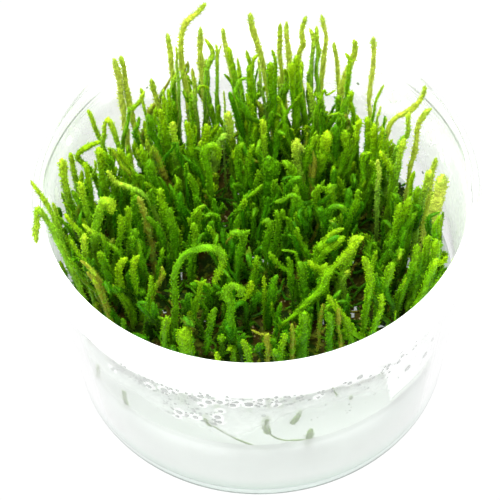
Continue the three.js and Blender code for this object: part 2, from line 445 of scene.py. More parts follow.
# Painted shade: the jelly's colour turns darker towards its top, under the moss.
top_painted_shade = ramp_value(tree, place["Z"], (JELLY_TOP - JELLY_SKIN[0]) * MM, (JELLY_TOP - JELLY_SKIN[1]) * MM)
clear = principled(
    tree,
    {
        "Base Color": colour_mix(tree, top_painted_shade, JELLY_TINT, JELLY_TOP_PAINTED_SHADE),
        "Roughness": 0.08,
        "IOR": WATER_IOR,
        "Transmission Weight": JELLY_CLEARNESS,
        "Emission Color": JELLY_GLOW_COLOUR,
        "Emission Strength": JELLY_GLOW,
        "Normal": bump_normal(tree, object_noise(tree, 90.0), 0.2, 0.5),
    },
)
let_lamps_through(tree, output, clear, JELLY_TINT)
finish_piece("jelly_slab", jelly, set_jelly, "jelly", "gel")

# %% [markdown]
# ## A leafy shoot
#
# A shoot of flame moss is a stem wrapped in hundreds of pointed leaves, each under a millimetre long, that overlap in
# a spiral like the strands of a rope. Modelling leaves one by one is out of the question, and a bump map on a tube
# has no ragged edge. So one leaf is made with bmesh, as a keeled wedge of four faces, and read into an array: x across
# it, y towards its tip and z off the stem, with its width and length as units. Every shoot is then a copy of that
# array at each step of its spiral, over a closed core that stands for the layers of leaves below.

# %% One leaf
LEAF_LENGTH = 0.68
LEAF_WIDTH = 0.35
LEAF_CORNERS = ((0, 0, 0.1), (-0.5, 0.5, -0.12), (0.5, 0.5, -0.12), (0, 1, 0.2))


def arrays_of_bmesh(bm):
    """The points and the faces, by the numbers of their corners, of a bmesh, which is freed."""
    bm.verts.index_update()
    points = np.array([v.co for v in bm.verts])
    faces = np.array([[v.index for v in f.verts] for f in bm.faces])
    bm.free()
    return points, faces


bm = bmesh.new()
for corner in LEAF_CORNERS:
    bm.verts.new(corner)
bmesh.ops.convex_hull(bm, input=bm.verts)
bmesh.ops.recalc_face_normals(bm, faces=bm.faces)
leaf_points, leaf_triangles = arrays_of_bmesh(bm)
print("leaf:", len(leaf_points), "points,", len(leaf_triangles), "triangles")

# %% The centre line of a shoot and its directions
LINE_STEP = 0.5


def at_places(places, run, rows):
    """Rows of three values, given at the places of run, interpolated at other places."""
    return np.stack([np.interp(places, run, rows[:, axis]) for axis in range(3)], 1)


def smooth_line(points):
    """A Catmull-Rom curve through the points, at even steps along its length, in millimetres."""
    points = np.asarray(points, float)
    ends = np.vstack([2 * points[0] - points[1], points, 2 * points[-1] - points[-2]])
    t = np.linspace(0, 1, 10, endpoint=False)[:, None]
    spans = [
        (2 * b + (c - a) * t + (2 * a - 5 * b + 4 * c - d) * t**2 + (3 * b - a - 3 * c + d) * t**3) / 2
        for a, b, c, d in zip(ends, ends[1:], ends[2:], ends[3:])
    ]
    curve = np.vstack(spans + [points[-1:]])
    run = np.concatenate([[0], np.cumsum(np.linalg.norm(np.diff(curve, axis=0), axis=1))])
    even = np.linspace(0, run[-1], max(4, round(run[-1] / LINE_STEP) + 1))
    return at_places(even, run, curve)


def directions(line):
    """Along the line and two ways across it that don't twist, one row for each point."""
    along = np.gradient(line, axis=0)
    along /= np.linalg.norm(along, axis=1)[:, None]
    across = np.empty_like(line)
    across[0] = np.cross(along[0], (0.31, 0.9, 0.3))
    for i in range(len(line)):
        across[i] = across[max(i - 1, 0)] - along[i] * np.dot(across[max(i - 1, 0)], along[i])
        across[i] /= np.linalg.norm(across[i])
    return along, across, np.cross(along, across)


# %% Core and leaves of one shoot
GOLDEN_ANGLE = math.radians(137.5)
MM_PER_PIXEL = 0.225
STEM_SIDES = 7
STEM_LEAST, STEM_LUMPS = 0.88, 0.24
CORE_LEAST = 0.16
LEAF_REACH = 0.21
LEAF_ROOT = 0.1
LEAF_ANGLE_AT_TIP, LEAF_OPENING, LEAF_ANGLE_SPREAD = 18, 34, 14
LEAF_TURN_SPREAD = 0.35
LEAF_SIZES = (0.75, 1.15)
FULL_CROWDING_TO, LOW_CROWDING_FROM, LOW_CROWDING = 13, 20, 0.45
FINE_LENGTH = 12.0
COARSE_STEP = 3
SWAY_STEPS, SWAY_AXES = 7, (1, 1, 0.3)
SWELL_STEPS, SWELL = 5, 0.16


def stem_arrays(line, around, radii, lumps):
    """Points and triangles of a closed core with seven sides, raised by lumps, from 0 to 1, at its points."""
    _, across, third = around
    sides = np.arange(STEM_SIDES)
    angles = sides * math.tau / STEM_SIDES
    ring = across[:, None] * np.cos(angles)[:, None] + third[:, None] * np.sin(angles)[:, None]
    points = line[:, None] + ring * (radii[:, None] * (STEM_LEAST + STEM_LUMPS * lumps))[:, :, None]
    points = np.vstack([points.reshape(-1, 3), line[:1], line[-1:]])
    starts, beside = np.arange(len(line) - 1)[:, None] * STEM_SIDES, (sides + 1) % STEM_SIDES
    here, next_to = starts + sides, starts + beside
    above = next_to + STEM_SIDES
    walls = np.concatenate([np.stack([here, next_to, above], -1), np.stack([here, above, here + STEM_SIDES], -1)])
    top = (len(line) - 1) * STEM_SIDES
    first, last = np.full((2, STEM_SIDES), [[top + STEM_SIDES], [top + STEM_SIDES + 1]])
    foot = np.stack([first, beside, sides], 1)
    tip = np.stack([last, top + sides, top + beside], 1)
    return points, np.vstack([walls.reshape(-1, 3), foot, tip])


def wander(count, spacing, size):
    """A smooth random curve of count values about 0, with a new direction at each spacing."""
    knots = np.arange(0, count + 2 * spacing, spacing)
    rough = np.interp(np.arange(count + spacing), knots, dice.normal(0, size, len(knots)))
    return np.convolve(rough, np.full(spacing, 1 / spacing), "full")[spacing : count + spacing]


def leafy_shoot(points, thickness=7.0, tone=0.5, dry=0.0, head=0.8, density=8.6, astray=0.3, ageing=1.0):
    """Arrays of one shoot: points, triangles and, per point, its distance from the tip, tones and dryness.

    thickness is in pixels of the photograph. head is the thickness at the tip as a share of that below it: a small
    one makes a tapered shoot, one makes a blunt shoot. density says how many leaves there are, astray how far the
    centre line wavers, in millimetres, and ageing how soon the colour below the tip turns to that of the foot.
    """
    line = smooth_line(points)
    line = line + np.stack([wander(len(line), SWAY_STEPS, astray) for _ in range(3)], 1) * SWAY_AXES
    around = directions(line)
    stations = np.arange(len(line))
    length = LINE_STEP * (len(line) - 1)
    from_tip = np.linspace(length, 0, len(line))
    core = max(thickness * MM_PER_PIXEL / 2 - LEAF_REACH, CORE_LEAST)
    blunt = core + 0.35

    picked = (from_tip < FINE_LENGTH) | (stations[::-1] % COARSE_STEP == 0)
    picked[0] = True
    slim = np.interp(from_tip, (0, blunt, blunt + 3), (0.35 * head, 0.5 + 0.5 * head, 1.0)) * core
    slim *= 1 + wander(len(line), SWELL_STEPS, SWELL)
    lumps = dice.random((np.count_nonzero(picked), STEM_SIDES))
    stem, stem_faces = stem_arrays(line[picked], [d[picked] for d in around], slim[picked], lumps)
    stem_tip = np.append(np.repeat(from_tip[picked], STEM_SIDES), [length, 0.0])

    crowding = np.cumsum(np.interp(from_tip, (FULL_CROWDING_TO, LOW_CROWDING_FROM), (1.0, LOW_CROWDING)))
    count = max(6, int(LINE_STEP * crowding[-1] * density * (core + 0.3)))
    steps = (np.arange(count) + dice.uniform(-0.6, 0.6, count) + 0.6) / (count + 0.2)
    spot = np.interp(np.sort(steps) * crowding[-1], crowding, stations)
    gap = (len(line) - 1 - spot) * LINE_STEP
    centre, along, across, third = (at_places(spot, stations, rows) for rows in (line, *around))
    azimuth = np.arange(count) * GOLDEN_ANGLE + dice.normal(0, LEAF_TURN_SPREAD, count)
    outward = across * np.cos(azimuth)[:, None] + third * np.sin(azimuth)[:, None]
    open_at_tip = np.interp(gap, (0, 0.3, blunt + 0.4), (0.0, 0.5, 1.0))
    angle = LEAF_ANGLE_AT_TIP + LEAF_OPENING * open_at_tip + dice.normal(0, LEAF_ANGLE_SPREAD, count)
    sine, cosine = np.sin(np.radians(angle))[:, None], np.cos(np.radians(angle))[:, None]
    blade = along * cosine + outward * sine
    keel = outward * cosine - along * sine
    edge = np.cross(blade, keel)
    size = np.interp(gap, (0, blunt, 2.5), (0.45, 0.3 + 0.6 * head, 1.0)) * dice.uniform(*LEAF_SIZES, count)
    size *= min(1.0, 0.5 + thickness / 16)
    root = centre + outward * (np.interp(gap, from_tip[::-1], slim[::-1]) - LEAF_ROOT)[:, None]
    leaves = root[:, None]
    for way, unit, measure in zip((edge, blade, keel), leaf_points.T, (LEAF_WIDTH, LEAF_LENGTH, LEAF_WIDTH)):
        leaves = leaves + way[:, None] * (unit * measure)[None, :, None] * size[:, None, None]
    corners = len(leaf_points)
    leaf_faces = leaf_triangles[None] + (np.arange(count) * corners)[:, None, None] + len(stem)
    leaf_tones = np.repeat(0.3 + 0.7 * dice.random(count), corners)
    point_count = len(stem) + count * corners
    return {
        "points": np.vstack([stem, leaves.reshape(-1, 3)]),
        "triangles": np.vstack([stem_faces, leaf_faces.reshape(-1, 3)]),
        "from_tip": np.concatenate([stem_tip, np.repeat(gap, corners)]) * ageing,
        "leaf_tone": np.concatenate([0.2 + lumps.ravel() * 0.5, [0.2, 0.5], leaf_tones]),
        "along_leaf": np.concatenate([lumps.ravel() * 0.5, [0, 0.5], np.tile(leaf_points[:, 1], count)]),
        "shoot_tone": np.full(point_count, tone),
        "dryness": np.full(point_count, dry),
    }


def mesh_of_arrays(name, points, faces):
    """A mesh of points in millimetres and faces that all have the same number of corners."""
    mesh = bpy.data.meshes.new(name)
    mesh.vertices.add(len(points))
    mesh.vertices.foreach_set("co", points.ravel() * MM)
    mesh.loops.add(faces.size)
    mesh.loops.foreach_set("vertex_index", faces.ravel().astype(np.int32))
    mesh.polygons.add(len(faces))
    mesh.polygons.foreach_set("loop_start", np.arange(0, faces.size, faces.shape[1], dtype=np.int32))
    mesh.update(calc_edges=True)
    return mesh


def join_arrays(name, parts):
    """One mesh of many shoots, with the values of each point as attributes that the material reads."""
    starts = np.cumsum([0] + [len(part["points"]) for part in parts])
    points = np.vstack([part["points"] for part in parts])
    triangles = np.vstack([part["triangles"] + start for part, start in zip(parts, starts)])
    mesh = mesh_of_arrays(name, points, triangles)
    for key in ("from_tip", "leaf_tone", "along_leaf", "shoot_tone", "dryness"):
        layer = mesh.attributes.new(key, "FLOAT", "POINT")
        layer.data.foreach_set("value", np.concatenate([part[key] for part in parts]).astype(np.float32))
    return mesh


dice = np.random.default_rng(7)

# %% [markdown]
# ## Where the shoots stand
#
# The stand covers an ellipse of the jelly. Its tips form a canopy that is lowest in front, higher at the sides and
# highest at the back, and the shoots fan outwards a little. The canopy is written as a function of the place, the same
# one that the construction model uses for its clumps, and it serves twice: it limits the shoots that fill the stand,
# and it gives the depth of a traced shoot, whose tip lies where its sight line meets the canopy.

# %% Canopy and footprint
FOOT_Z = JELLY_TOP + 0.5
STAND_MIDDLE = np.array([0.0, 8.0])
STAND_RADII = np.array([43.0, 32.0])
STAND_POWER = 2.5
CANOPY_MIDDLE, CANOPY_FALL = 48.8, 0.3
CANOPY_RISE_BACK, CANOPY_RISE_SIDES = 0.0125, 0.0065
FAN_MIDDLE = np.array([-1.0, 5.0])
FAN = 0.003
WALL_ROOM = 1.6
SHORT_DROP, STEEPEST = 2.0, 0.3


def out_of_stand(x, y):
    """How far a place is from the middle of the stand: 0 there, 1 at its edge."""
    across, back = abs(x - STAND_MIDDLE[0]) / STAND_RADII[0], abs(y - STAND_MIDDLE[1]) / STAND_RADII[1]
    return (across**STAND_POWER + back**STAND_POWER) ** (1 / STAND_POWER)


def canopy(x, y):
    """Height of the tips over the place (x, y), in millimetres above the table."""
    front, back = np.maximum(-y, 0), np.maximum(y, 0)
    return CANOPY_MIDDLE + CANOPY_RISE_BACK * back**2 + CANOPY_RISE_SIDES * x**2 - CANOPY_FALL * front


def seen_in_plane(pixel, at, lean):
    """The point that a pixel shows in the plane through a point, which leans back by lean for each unit of height."""
    line = sight_line(pixel)
    return EYE + line * (at[1] - EYE[1] + lean * (EYE[2] - at[2])) / (line[1] - lean * line[2])


def tip_under_canopy(pixel, lift=1.0):
    """The point where a pixel's sight line meets the canopy, lift millimetres higher."""
    z = 50.0
    for _ in range(30):
        x, y, _ = seen_at_height(pixel, z)
        z += 0.4 * (canopy(x, y) + lift - z)
    return seen_at_height(pixel, z)


def inside_wall(point):
    """The point, drawn in towards the axis where it would come too close to the wall."""
    share = min(1.0, (wall_radius(point[2]) - WALL_ROOM) / math.hypot(point[0], point[1]))
    return point * (share, share, 1.0)


def traced_line(pixels, tip):
    """Centre line, foot first, of a shoot traced tip first: it leans in one plane from its tip down to the jelly."""
    lean = FAN * 0.6 * (tip[1] - FAN_MIDDLE[1])
    points = [inside_wall(seen_in_plane(pixel, tip, lean)) for pixel in pixels]
    points = [point for point in points if point[2] > FOOT_Z]
    last, before = points[-1], points[-2]
    drop = last[2] - FOOT_Z
    if drop > SHORT_DROP:
        slope = np.clip((last[0] - before[0]) / max(before[2] - last[2], 1.0), -STEEPEST, STEEPEST)
        points.append(inside_wall(last + (0.6 * slope * drop, -lean * drop, -drop)))
    return np.array(points[::-1])


# %% [markdown]
# ### The separate shoots
#
# Shoots at the edge of the stand show one by one against the white wall, so the construction model has a thin solid
# for each, and the leafy shoots take those solids' places. Each has its thickness in pixels, its tone from deep green
# to yellow, the y at which its tip stands, and the pixels of its centre line, tip first. Two hang over the rim, out of
# one plane, so they keep the points of their solids.

# %% Pixels of the separate shoots
SEPARATE = {
    "left_slender": (4, 0.8, 0.5, [(52, 203), (55, 212), (58, 223), (61, 233), (64, 245), (71, 261), (83, 284)]),
    "left_stout": (8.5, 0.75, 6, [(62, 159), (64, 173), (67, 190), (72, 212), (79, 238), (89, 268)]),
    "left_inner": (6.5, 0.7, 15.5, [(70, 153), (72, 165), (76, 180), (81, 200), (88, 220), (96, 244)]),
    "left_hooked": (6.5, 0.65, 19, [(102, 141), (94, 143), (86, 147), (79, 152), (77, 158), (83, 163), (93, 173),
                                   (100, 188), (112, 220)]),
    "left_leaning": (5.5, 0.75, 24.5, [(88, 110), (92, 119), (96, 130), (101, 142), (106, 157), (113, 180),
                                       (120, 204)]),
    "back_left_pale": (7, 0.95, 34, [(113, 58), (116, 68), (119, 82), (121, 100), (124, 120), (128, 148), (133, 180)]),
    "back_left_green": (6.5, 0.75, 35, [(121, 56), (124, 68), (126, 85), (129, 103), (135, 125), (142, 150),
                                      (149, 175)]),
    "back_left_short": (6.5, 0.7, 38.5, [(151, 79), (153, 89), (157, 101), (160, 115), (163, 140), (165, 164)]),
    "back_straight": (6, 0.8, 40.7, [(167, 34), (169, 46), (171, 60), (173, 80), (176, 102), (179, 130), (181, 153)]),
    "back_bowed": (6.5, 0.75, 39.8, [(206, 3), (198, 12), (190, 18), (185, 24), (182, 34), (181, 50), (183, 70),
                                    (187, 95), (193, 148)]),
    "back_tapering": (6.5, 0.85, 42, [(201, 27), (200, 42), (200, 60), (202, 80), (204, 100), (208, 145)]),
    "back_pale": (5.5, 1.0, 43.8, [(223, 28), (224, 40), (227, 54), (230, 68), (233, 85), (236, 108), (240, 140)]),
    "back_tall": (6.5, 0.85, 42.7, [(250, 13), (251, 23), (254, 33), (258, 45), (262, 60), (265, 76),
                                (268, 93), (274, 141)]),
    "back_twin_left": (6, 0.75, 43, [(280, 23), (280, 45), (281, 65), (284, 92), (287, 140)]),
    "back_twin_right": (6, 0.85, 41, [(286, 22), (287, 40), (289, 58), (291, 78), (294, 100), (297, 147)]),
    "back_kinked": (6, 0.75, 42.6, [(306, 16), (303, 26), (302, 35), (303, 45), (299, 53), (299, 70),
                                (302, 92), (307, 139)]),
    "back_curved": (6, 0.9, 39.6, [(321, 15), (323, 26), (326, 38), (325, 50), (323, 66), (321, 90), (319, 147)]),
    "back_right_short": (5, 0.85, 37.8, [(334, 42), (336, 55), (337, 68), (339, 85), (340, 110), (339, 154)]),
    "back_right_stout": (7, 0.7, 35.5, [(354, 40), (355, 50), (352, 62), (347, 74), (343, 88), (340, 112), (338, 168)]),
    "back_right_pale": (6, 1.0, 33.5, [(374, 37), (374, 52), (372, 70), (370, 88), (369, 102), (371, 125), (369, 174)]),
    "right_branched": (6, 0.75, 23.2, [(425, 86), (423, 95), (418, 103), (411, 109), (404, 113), (396, 117),
                                      (391, 124), (387, 135), (383, 150), (382, 203)]),
    "right_slender": (6, 0.8, 19.5, [(432, 108), (426, 112), (421, 120), (417, 131), (416, 145), (413, 158),
                                    (410, 170), (408, 187), (409, 212)]),
    "right_pale": (6, 0.7, 4, [(435, 158), (434, 166), (432, 176), (429, 192), (426, 212), (424, 236), (422, 266)]),
    "right_leaning": (11, 1.0, -3, [(443, 175), (440, 188), (437, 202), (433, 218), (428, 236), (424, 256),
                                   (420, 288)]),
    "front_looped": (6.5, 0.6, -12.5, [(126, 258), (120, 263), (118, 272), (120, 284), (124, 294), (129, 303),
                                     (133, 312), (131, 325)]),
    "front_arched": (7, 0.5, -19, [(214, 283), (218, 275), (222, 267), (223, 259), (220, 252), (214, 248),
                                 (205, 247), (196, 249), (187, 253), (180, 262), (175, 272), (174, 285),
                                 (175, 300), (175, 318), (172, 344)]),
    "front_curled": (7, 0.4, -23.3, [(236, 296), (241, 294), (240, 288), (234, 285), (228, 289), (227, 296),
                                   (230, 303), (231, 315), (232, 330), (231, 358)]),
    "front_diagonal": (6, 0.6, -22, [(361, 237), (357, 242), (349, 250), (342, 258), (335, 266), (329, 273),
                                   (325, 281), (321, 289), (314, 296), (304, 306), (297, 313), (286, 321),
                                   (276, 331), (271, 353)]),
    "front_leaning": (6.5, 0.55, -23, [(328, 296), (333, 302), (339, 311), (345, 320), (351, 329), (357, 335),
                                     (364, 341), (371, 353)]),
    "front_forked": (6.5, 0.55, -19.8, [(363, 257), (366, 264), (369, 273), (370, 288), (368, 303), (365, 318),
                                      (367, 342)]),
}
OVERHANGING = {
    "left_overhanging": [(-39.5, -7, 24), (-41.8, -6, 36), (-43.6, -4.5, 48), (-45.4, -3, 57), (-48.5, -2, 65)],
    "left_drooping": [(-37, -14.5, 24), (-40, -15, 46), (-43.5, -15.5, 65), (-45.5, -16, 72.5), (-47, -16, 61)],
}
separate = {
    name: (traced_line(pixels, seen_in_plane(pixels[0], (0, y, 0), 0.0)), thickness, tone)
    for name, (thickness, tone, y, pixels) in SEPARATE.items()
}
separate.update({name: (np.array(points, float), 5.5, 0.75) for name, points in OVERHANGING.items()})
print("separate shoots:", len(separate))

# %% [markdown]
# ### Traced shoots
#
# Inside the stand the photograph still shows many shoots well enough to follow one by one. Each entry below has its
# thickness in pixels, its tone, its dryness (straw at a half, brown at one) and the pixels of its centre line, tip
# first, and the functions above stand it up under the canopy.

# %% Pixels of the traced shoots at the back
TRACED = {
    "behind_straight": (5, 0.9, 0, [(176, 46), (177, 60), (178, 78), (179, 98)]),
    "bent_behind_tapering": (6, 0.8, 0, [(205, 39), (209, 45), (212, 53), (209, 61), (206, 72), (205, 90)]),
    "notched_upright": (5, 0.8, 0, [(215, 44), (217, 56), (217, 72), (217, 88), (216, 104)]),
    "notch": (4, 0.8, 0, [(221, 45), (219, 52), (217, 60), (217, 75)]),
    "beside_pale": (7, 0.7, 0, [(229, 47), (231, 57), (234, 67), (236, 80), (238, 95)]),
    "short_before_tall": (5, 0.7, 0, [(238, 58), (240, 70), (241, 84), (242, 100)]),
    "forked_stem": (6, 0.7, 0, [(247, 49), (249, 57), (251, 66), (252, 82), (254, 102)]),
    "forked_arm": (6, 0.7, 0, [(258, 55), (254, 60), (252, 70)]),
    "pale_before_tall": (5, 1.0, 0, [(258, 60), (260, 74), (262, 90), (265, 110)]),
    "left_of_twins": (6, 0.6, 0, [(271, 50), (274, 58), (275, 68), (275, 80)]),
    "green_below_twins": (9, 0.5, 0, [(270, 62), (271, 80), (273, 100)]),
    "green_right_of_twins": (8, 0.6, 0, [(291, 62), (291, 80), (293, 98)]),
    "below_kinked": (8, 0.6, 0, [(296, 56), (297, 72), (299, 90), (303, 108)]),
    "bud_of_kinked": (6, 0.9, 0, [(309, 28), (313, 38), (313, 50), (311, 62), (310, 74), (311, 90)]),
    "left_of_curved": (6, 0.8, 0, [(317, 26), (318, 38), (318, 52), (317, 66), (317, 82), (318, 100)]),
    "thin_below_kinked": (6, 0.8, 0, [(308, 82), (311, 95), (313, 108), (316, 120)]),
    "mass_below_fork": (9, 0.5, 0, [(249, 66), (250, 82), (251, 100), (252, 122)]),
    "bud_of_stout": (6, 0.7, 0, [(346, 53), (350, 60), (349, 70)]),
    "edge_below_stout": (7, 0.6, 0, [(352, 91), (351, 105), (353, 120)]),
    "thin_right_back": (5, 0.7, 0, [(383, 84), (380, 91), (377, 99), (374, 109), (372, 120)]),
    "pale_right_back": (4, 1.0, 0, [(382, 106), (379, 115), (377, 122)]),
    "dark_tip_right_back": (4, 0.3, 0, [(386, 118), (384, 126)]),
    "bridge": (4, 0.6, 0, [(336, 90), (327, 96), (321, 98)]),
    "dark_tip_left_back": (6, 0.6, 0, [(163, 96), (164, 106), (165, 118), (168, 135)]),
    "left_of_back_straight": (6, 0.6, 0, [(168, 89), (169, 100), (171, 115)]),
    "olive_tip": (6, 0.9, 0.2, [(192, 67), (193, 80), (194, 95), (196, 110)]),
    "dark_round_tip": (7, 0.2, 0, [(230, 92), (232, 101), (236, 113), (240, 126), (243, 140)]),
    "thin_pale_back": (4, 1.0, 0, [(223, 91), (224, 105), (224, 118)]),
    "notched_left": (6, 0.7, 0, [(140, 88), (142, 95), (138, 103), (132, 109), (128, 117)]),
    "notched_left_arm": (5, 0.8, 0, [(146, 91), (143, 97), (145, 110), (148, 122)]),
    "loop_left_leg": (6, 0.75, 0, [(108, 118), (104, 126), (103, 137), (102, 150)]),
    "loop_right_leg": (7, 0.75, 0, [(108, 118), (112, 126), (115, 136), (119, 147), (124, 158), (130, 170)]),
}
print("shoots traced at the back:", len(TRACED))

# %% Pixels of the traced shoots behind the middle
TRACED |= {
    "wide_pale_left": (9, 0.75, 0, [(172, 122), (174, 138), (176, 153), (179, 168), (183, 182)]),
    "upright_left": (8, 0.6, 0, [(160, 110), (163, 125), (166, 142), (170, 158)]),
    "dark_upright_left": (8, 0.3, 0, [(150, 114), (151, 124), (154, 136), (160, 150)]),
    "brown_stem": (7, 0.4, 0.75, [(152, 146), (158, 158), (163, 171), (170, 186), (176, 200), (182, 213)]),
    "broad_left_head": (10, 0.5, 0, [(160, 190), (162, 203), (166, 216), (171, 229), (174, 243)]),
    "beside_broad_head": (9, 0.3, 0, [(150, 160), (153, 175), (158, 190)]),
    "low_beside_broad": (8, 0.35, 0, [(171, 208), (172, 220), (174, 232), (176, 248)]),
    "slender_green": (7, 0.35, 0, [(189, 173), (192, 183), (195, 192), (197, 204)]),
    "upright_over_hook": (8, 0.6, 0, [(207, 125), (206, 138), (203, 150)]),
    "left_of_hook": (8, 0.6, 0, [(186, 122), (189, 135), (192, 150)]),
    "hooked_middle": (8, 0.5, 0, [(219, 160), (218, 151), (214, 146), (208, 146), (206, 154), (207, 166),
                               (209, 178), (210, 191), (212, 205), (216, 219), (219, 229)]),
    "yellow_bend": (9, 0.85, 0.1, [(228, 112), (230, 125), (228, 137), (221, 142)]),
    "slim_left_of_centre": (7, 0.4, 0, [(243, 142), (238, 149), (238, 160), (239, 173), (241, 186), (242, 198)]),
    "serrated_centre": (7, 0.45, 0, [(254, 144), (249, 152), (249, 165), (248, 177), (245, 188)]),
    "olive_above_blunt": (7, 0.7, 0, [(262, 120), (263, 135), (264, 150)]),
    "blunt_double": (14, 0.25, 0, [(269, 157), (270, 172), (269, 188), (267, 204), (266, 222)]),
    "arm_of_blunt": (6, 0.4, 0, [(263, 184), (257, 190), (250, 196), (244, 203)]),
    "small_head_right": (6, 0.4, 0, [(295, 187), (298, 196), (299, 206)]),
    "lying_finger": (7, 0.35, 0, [(275, 201), (284, 199), (292, 195), (298, 199), (300, 212)]),
    "broad_pale_head": (10, 0.8, 0.1, [(297, 139), (295, 150), (297, 162), (301, 172)]),
    "long_below_pale_head": (9, 0.4, 0, [(284, 161), (291, 166), (297, 176), (303, 190), (304, 205), (307, 222)]),
    "two_headed_right": (11, 0.65, 0, [(328, 131), (326, 144), (323, 157), (318, 169), (314, 182), (311, 195)]),
    "two_headed_left": (8, 0.5, 0, [(318, 135), (312, 143), (307, 150), (305, 160), (306, 173), (306, 186)]),
    "round_head_back_right": (9, 0.5, 0, [(345, 130), (346, 141), (345, 152), (343, 162)]),
    "dark_strand_right": (8, 0.2, 0, [(336, 125), (336, 140), (335, 156), (334, 172)]),
    "elbow_right": (8, 0.65, 0, [(361, 120), (359, 132), (356, 144), (351, 153), (345, 160), (342, 168),
                                (342, 180), (340, 193), (337, 207)]),
    "bowed_right": (7, 0.65, 0, [(381, 151), (387, 162), (391, 173), (392, 187), (389, 204), (386, 222)]),
    "pale_strand_right": (6, 0.9, 0, [(378, 160), (379, 178), (378, 195)]),
    "upright_right_1": (8, 0.6, 0, [(366, 118), (368, 135), (368, 152), (366, 170), (364, 188)]),
    "upright_right_2": (8, 0.6, 0, [(374, 126), (374, 145), (373, 165), (371, 185)]),
    "upright_right_3": (7, 0.6, 0, [(383, 128), (381, 143), (380, 158)]),
    "leaning_right_of_middle": (7, 0.4, 0, [(359, 190), (357, 203), (351, 213), (348, 224), (345, 238)]),
    "right_leg_down": (7, 0.8, 0, [(409, 113), (408, 125), (406, 137), (401, 144)]),
    "right_leg_stout": (9, 0.8, 0, [(404, 139), (400, 153), (398, 165), (396, 177), (394, 189), (392, 202)]),
    "short_right_inner": (6, 0.6, 0, [(415, 171), (413, 181), (411, 193)]),
    "right_bright_pair": (9, 0.85, 0, [(430, 170), (427, 180), (424, 191), (421, 205), (418, 220)]),
    "right_green_inner": (8, 0.45, 0, [(418, 186), (417, 200), (414, 215), (410, 230)]),
    "right_inner_1": (8, 0.5, 0, [(400, 205), (397, 219), (394, 234), (392, 250)]),
    "right_inner_2": (8, 0.5, 0, [(409, 198), (405, 214), (402, 230), (398, 246)]),
    "right_toothed_edge": (7, 0.5, 0, [(440, 215), (439, 227), (437, 240), (435, 256)]),
    "left_mass_1": (9, 0.65, 0, [(98, 147), (100, 160), (103, 175), (106, 192)]),
    "left_mass_2": (7, 0.6, 0, [(85, 163), (87, 175), (89, 190), (92, 206)]),
    "left_mass_3": (7, 0.7, 0, [(79, 182), (82, 196), (86, 212)]),
    "olive_under_hook_1": (6, 0.6, 0.2, [(112, 150), (122, 165), (132, 178)]),
    "olive_under_hook_2": (7, 0.6, 0.1, [(118, 148), (126, 161), (134, 173), (141, 184)]),
}
print("with those behind the middle:", len(TRACED))

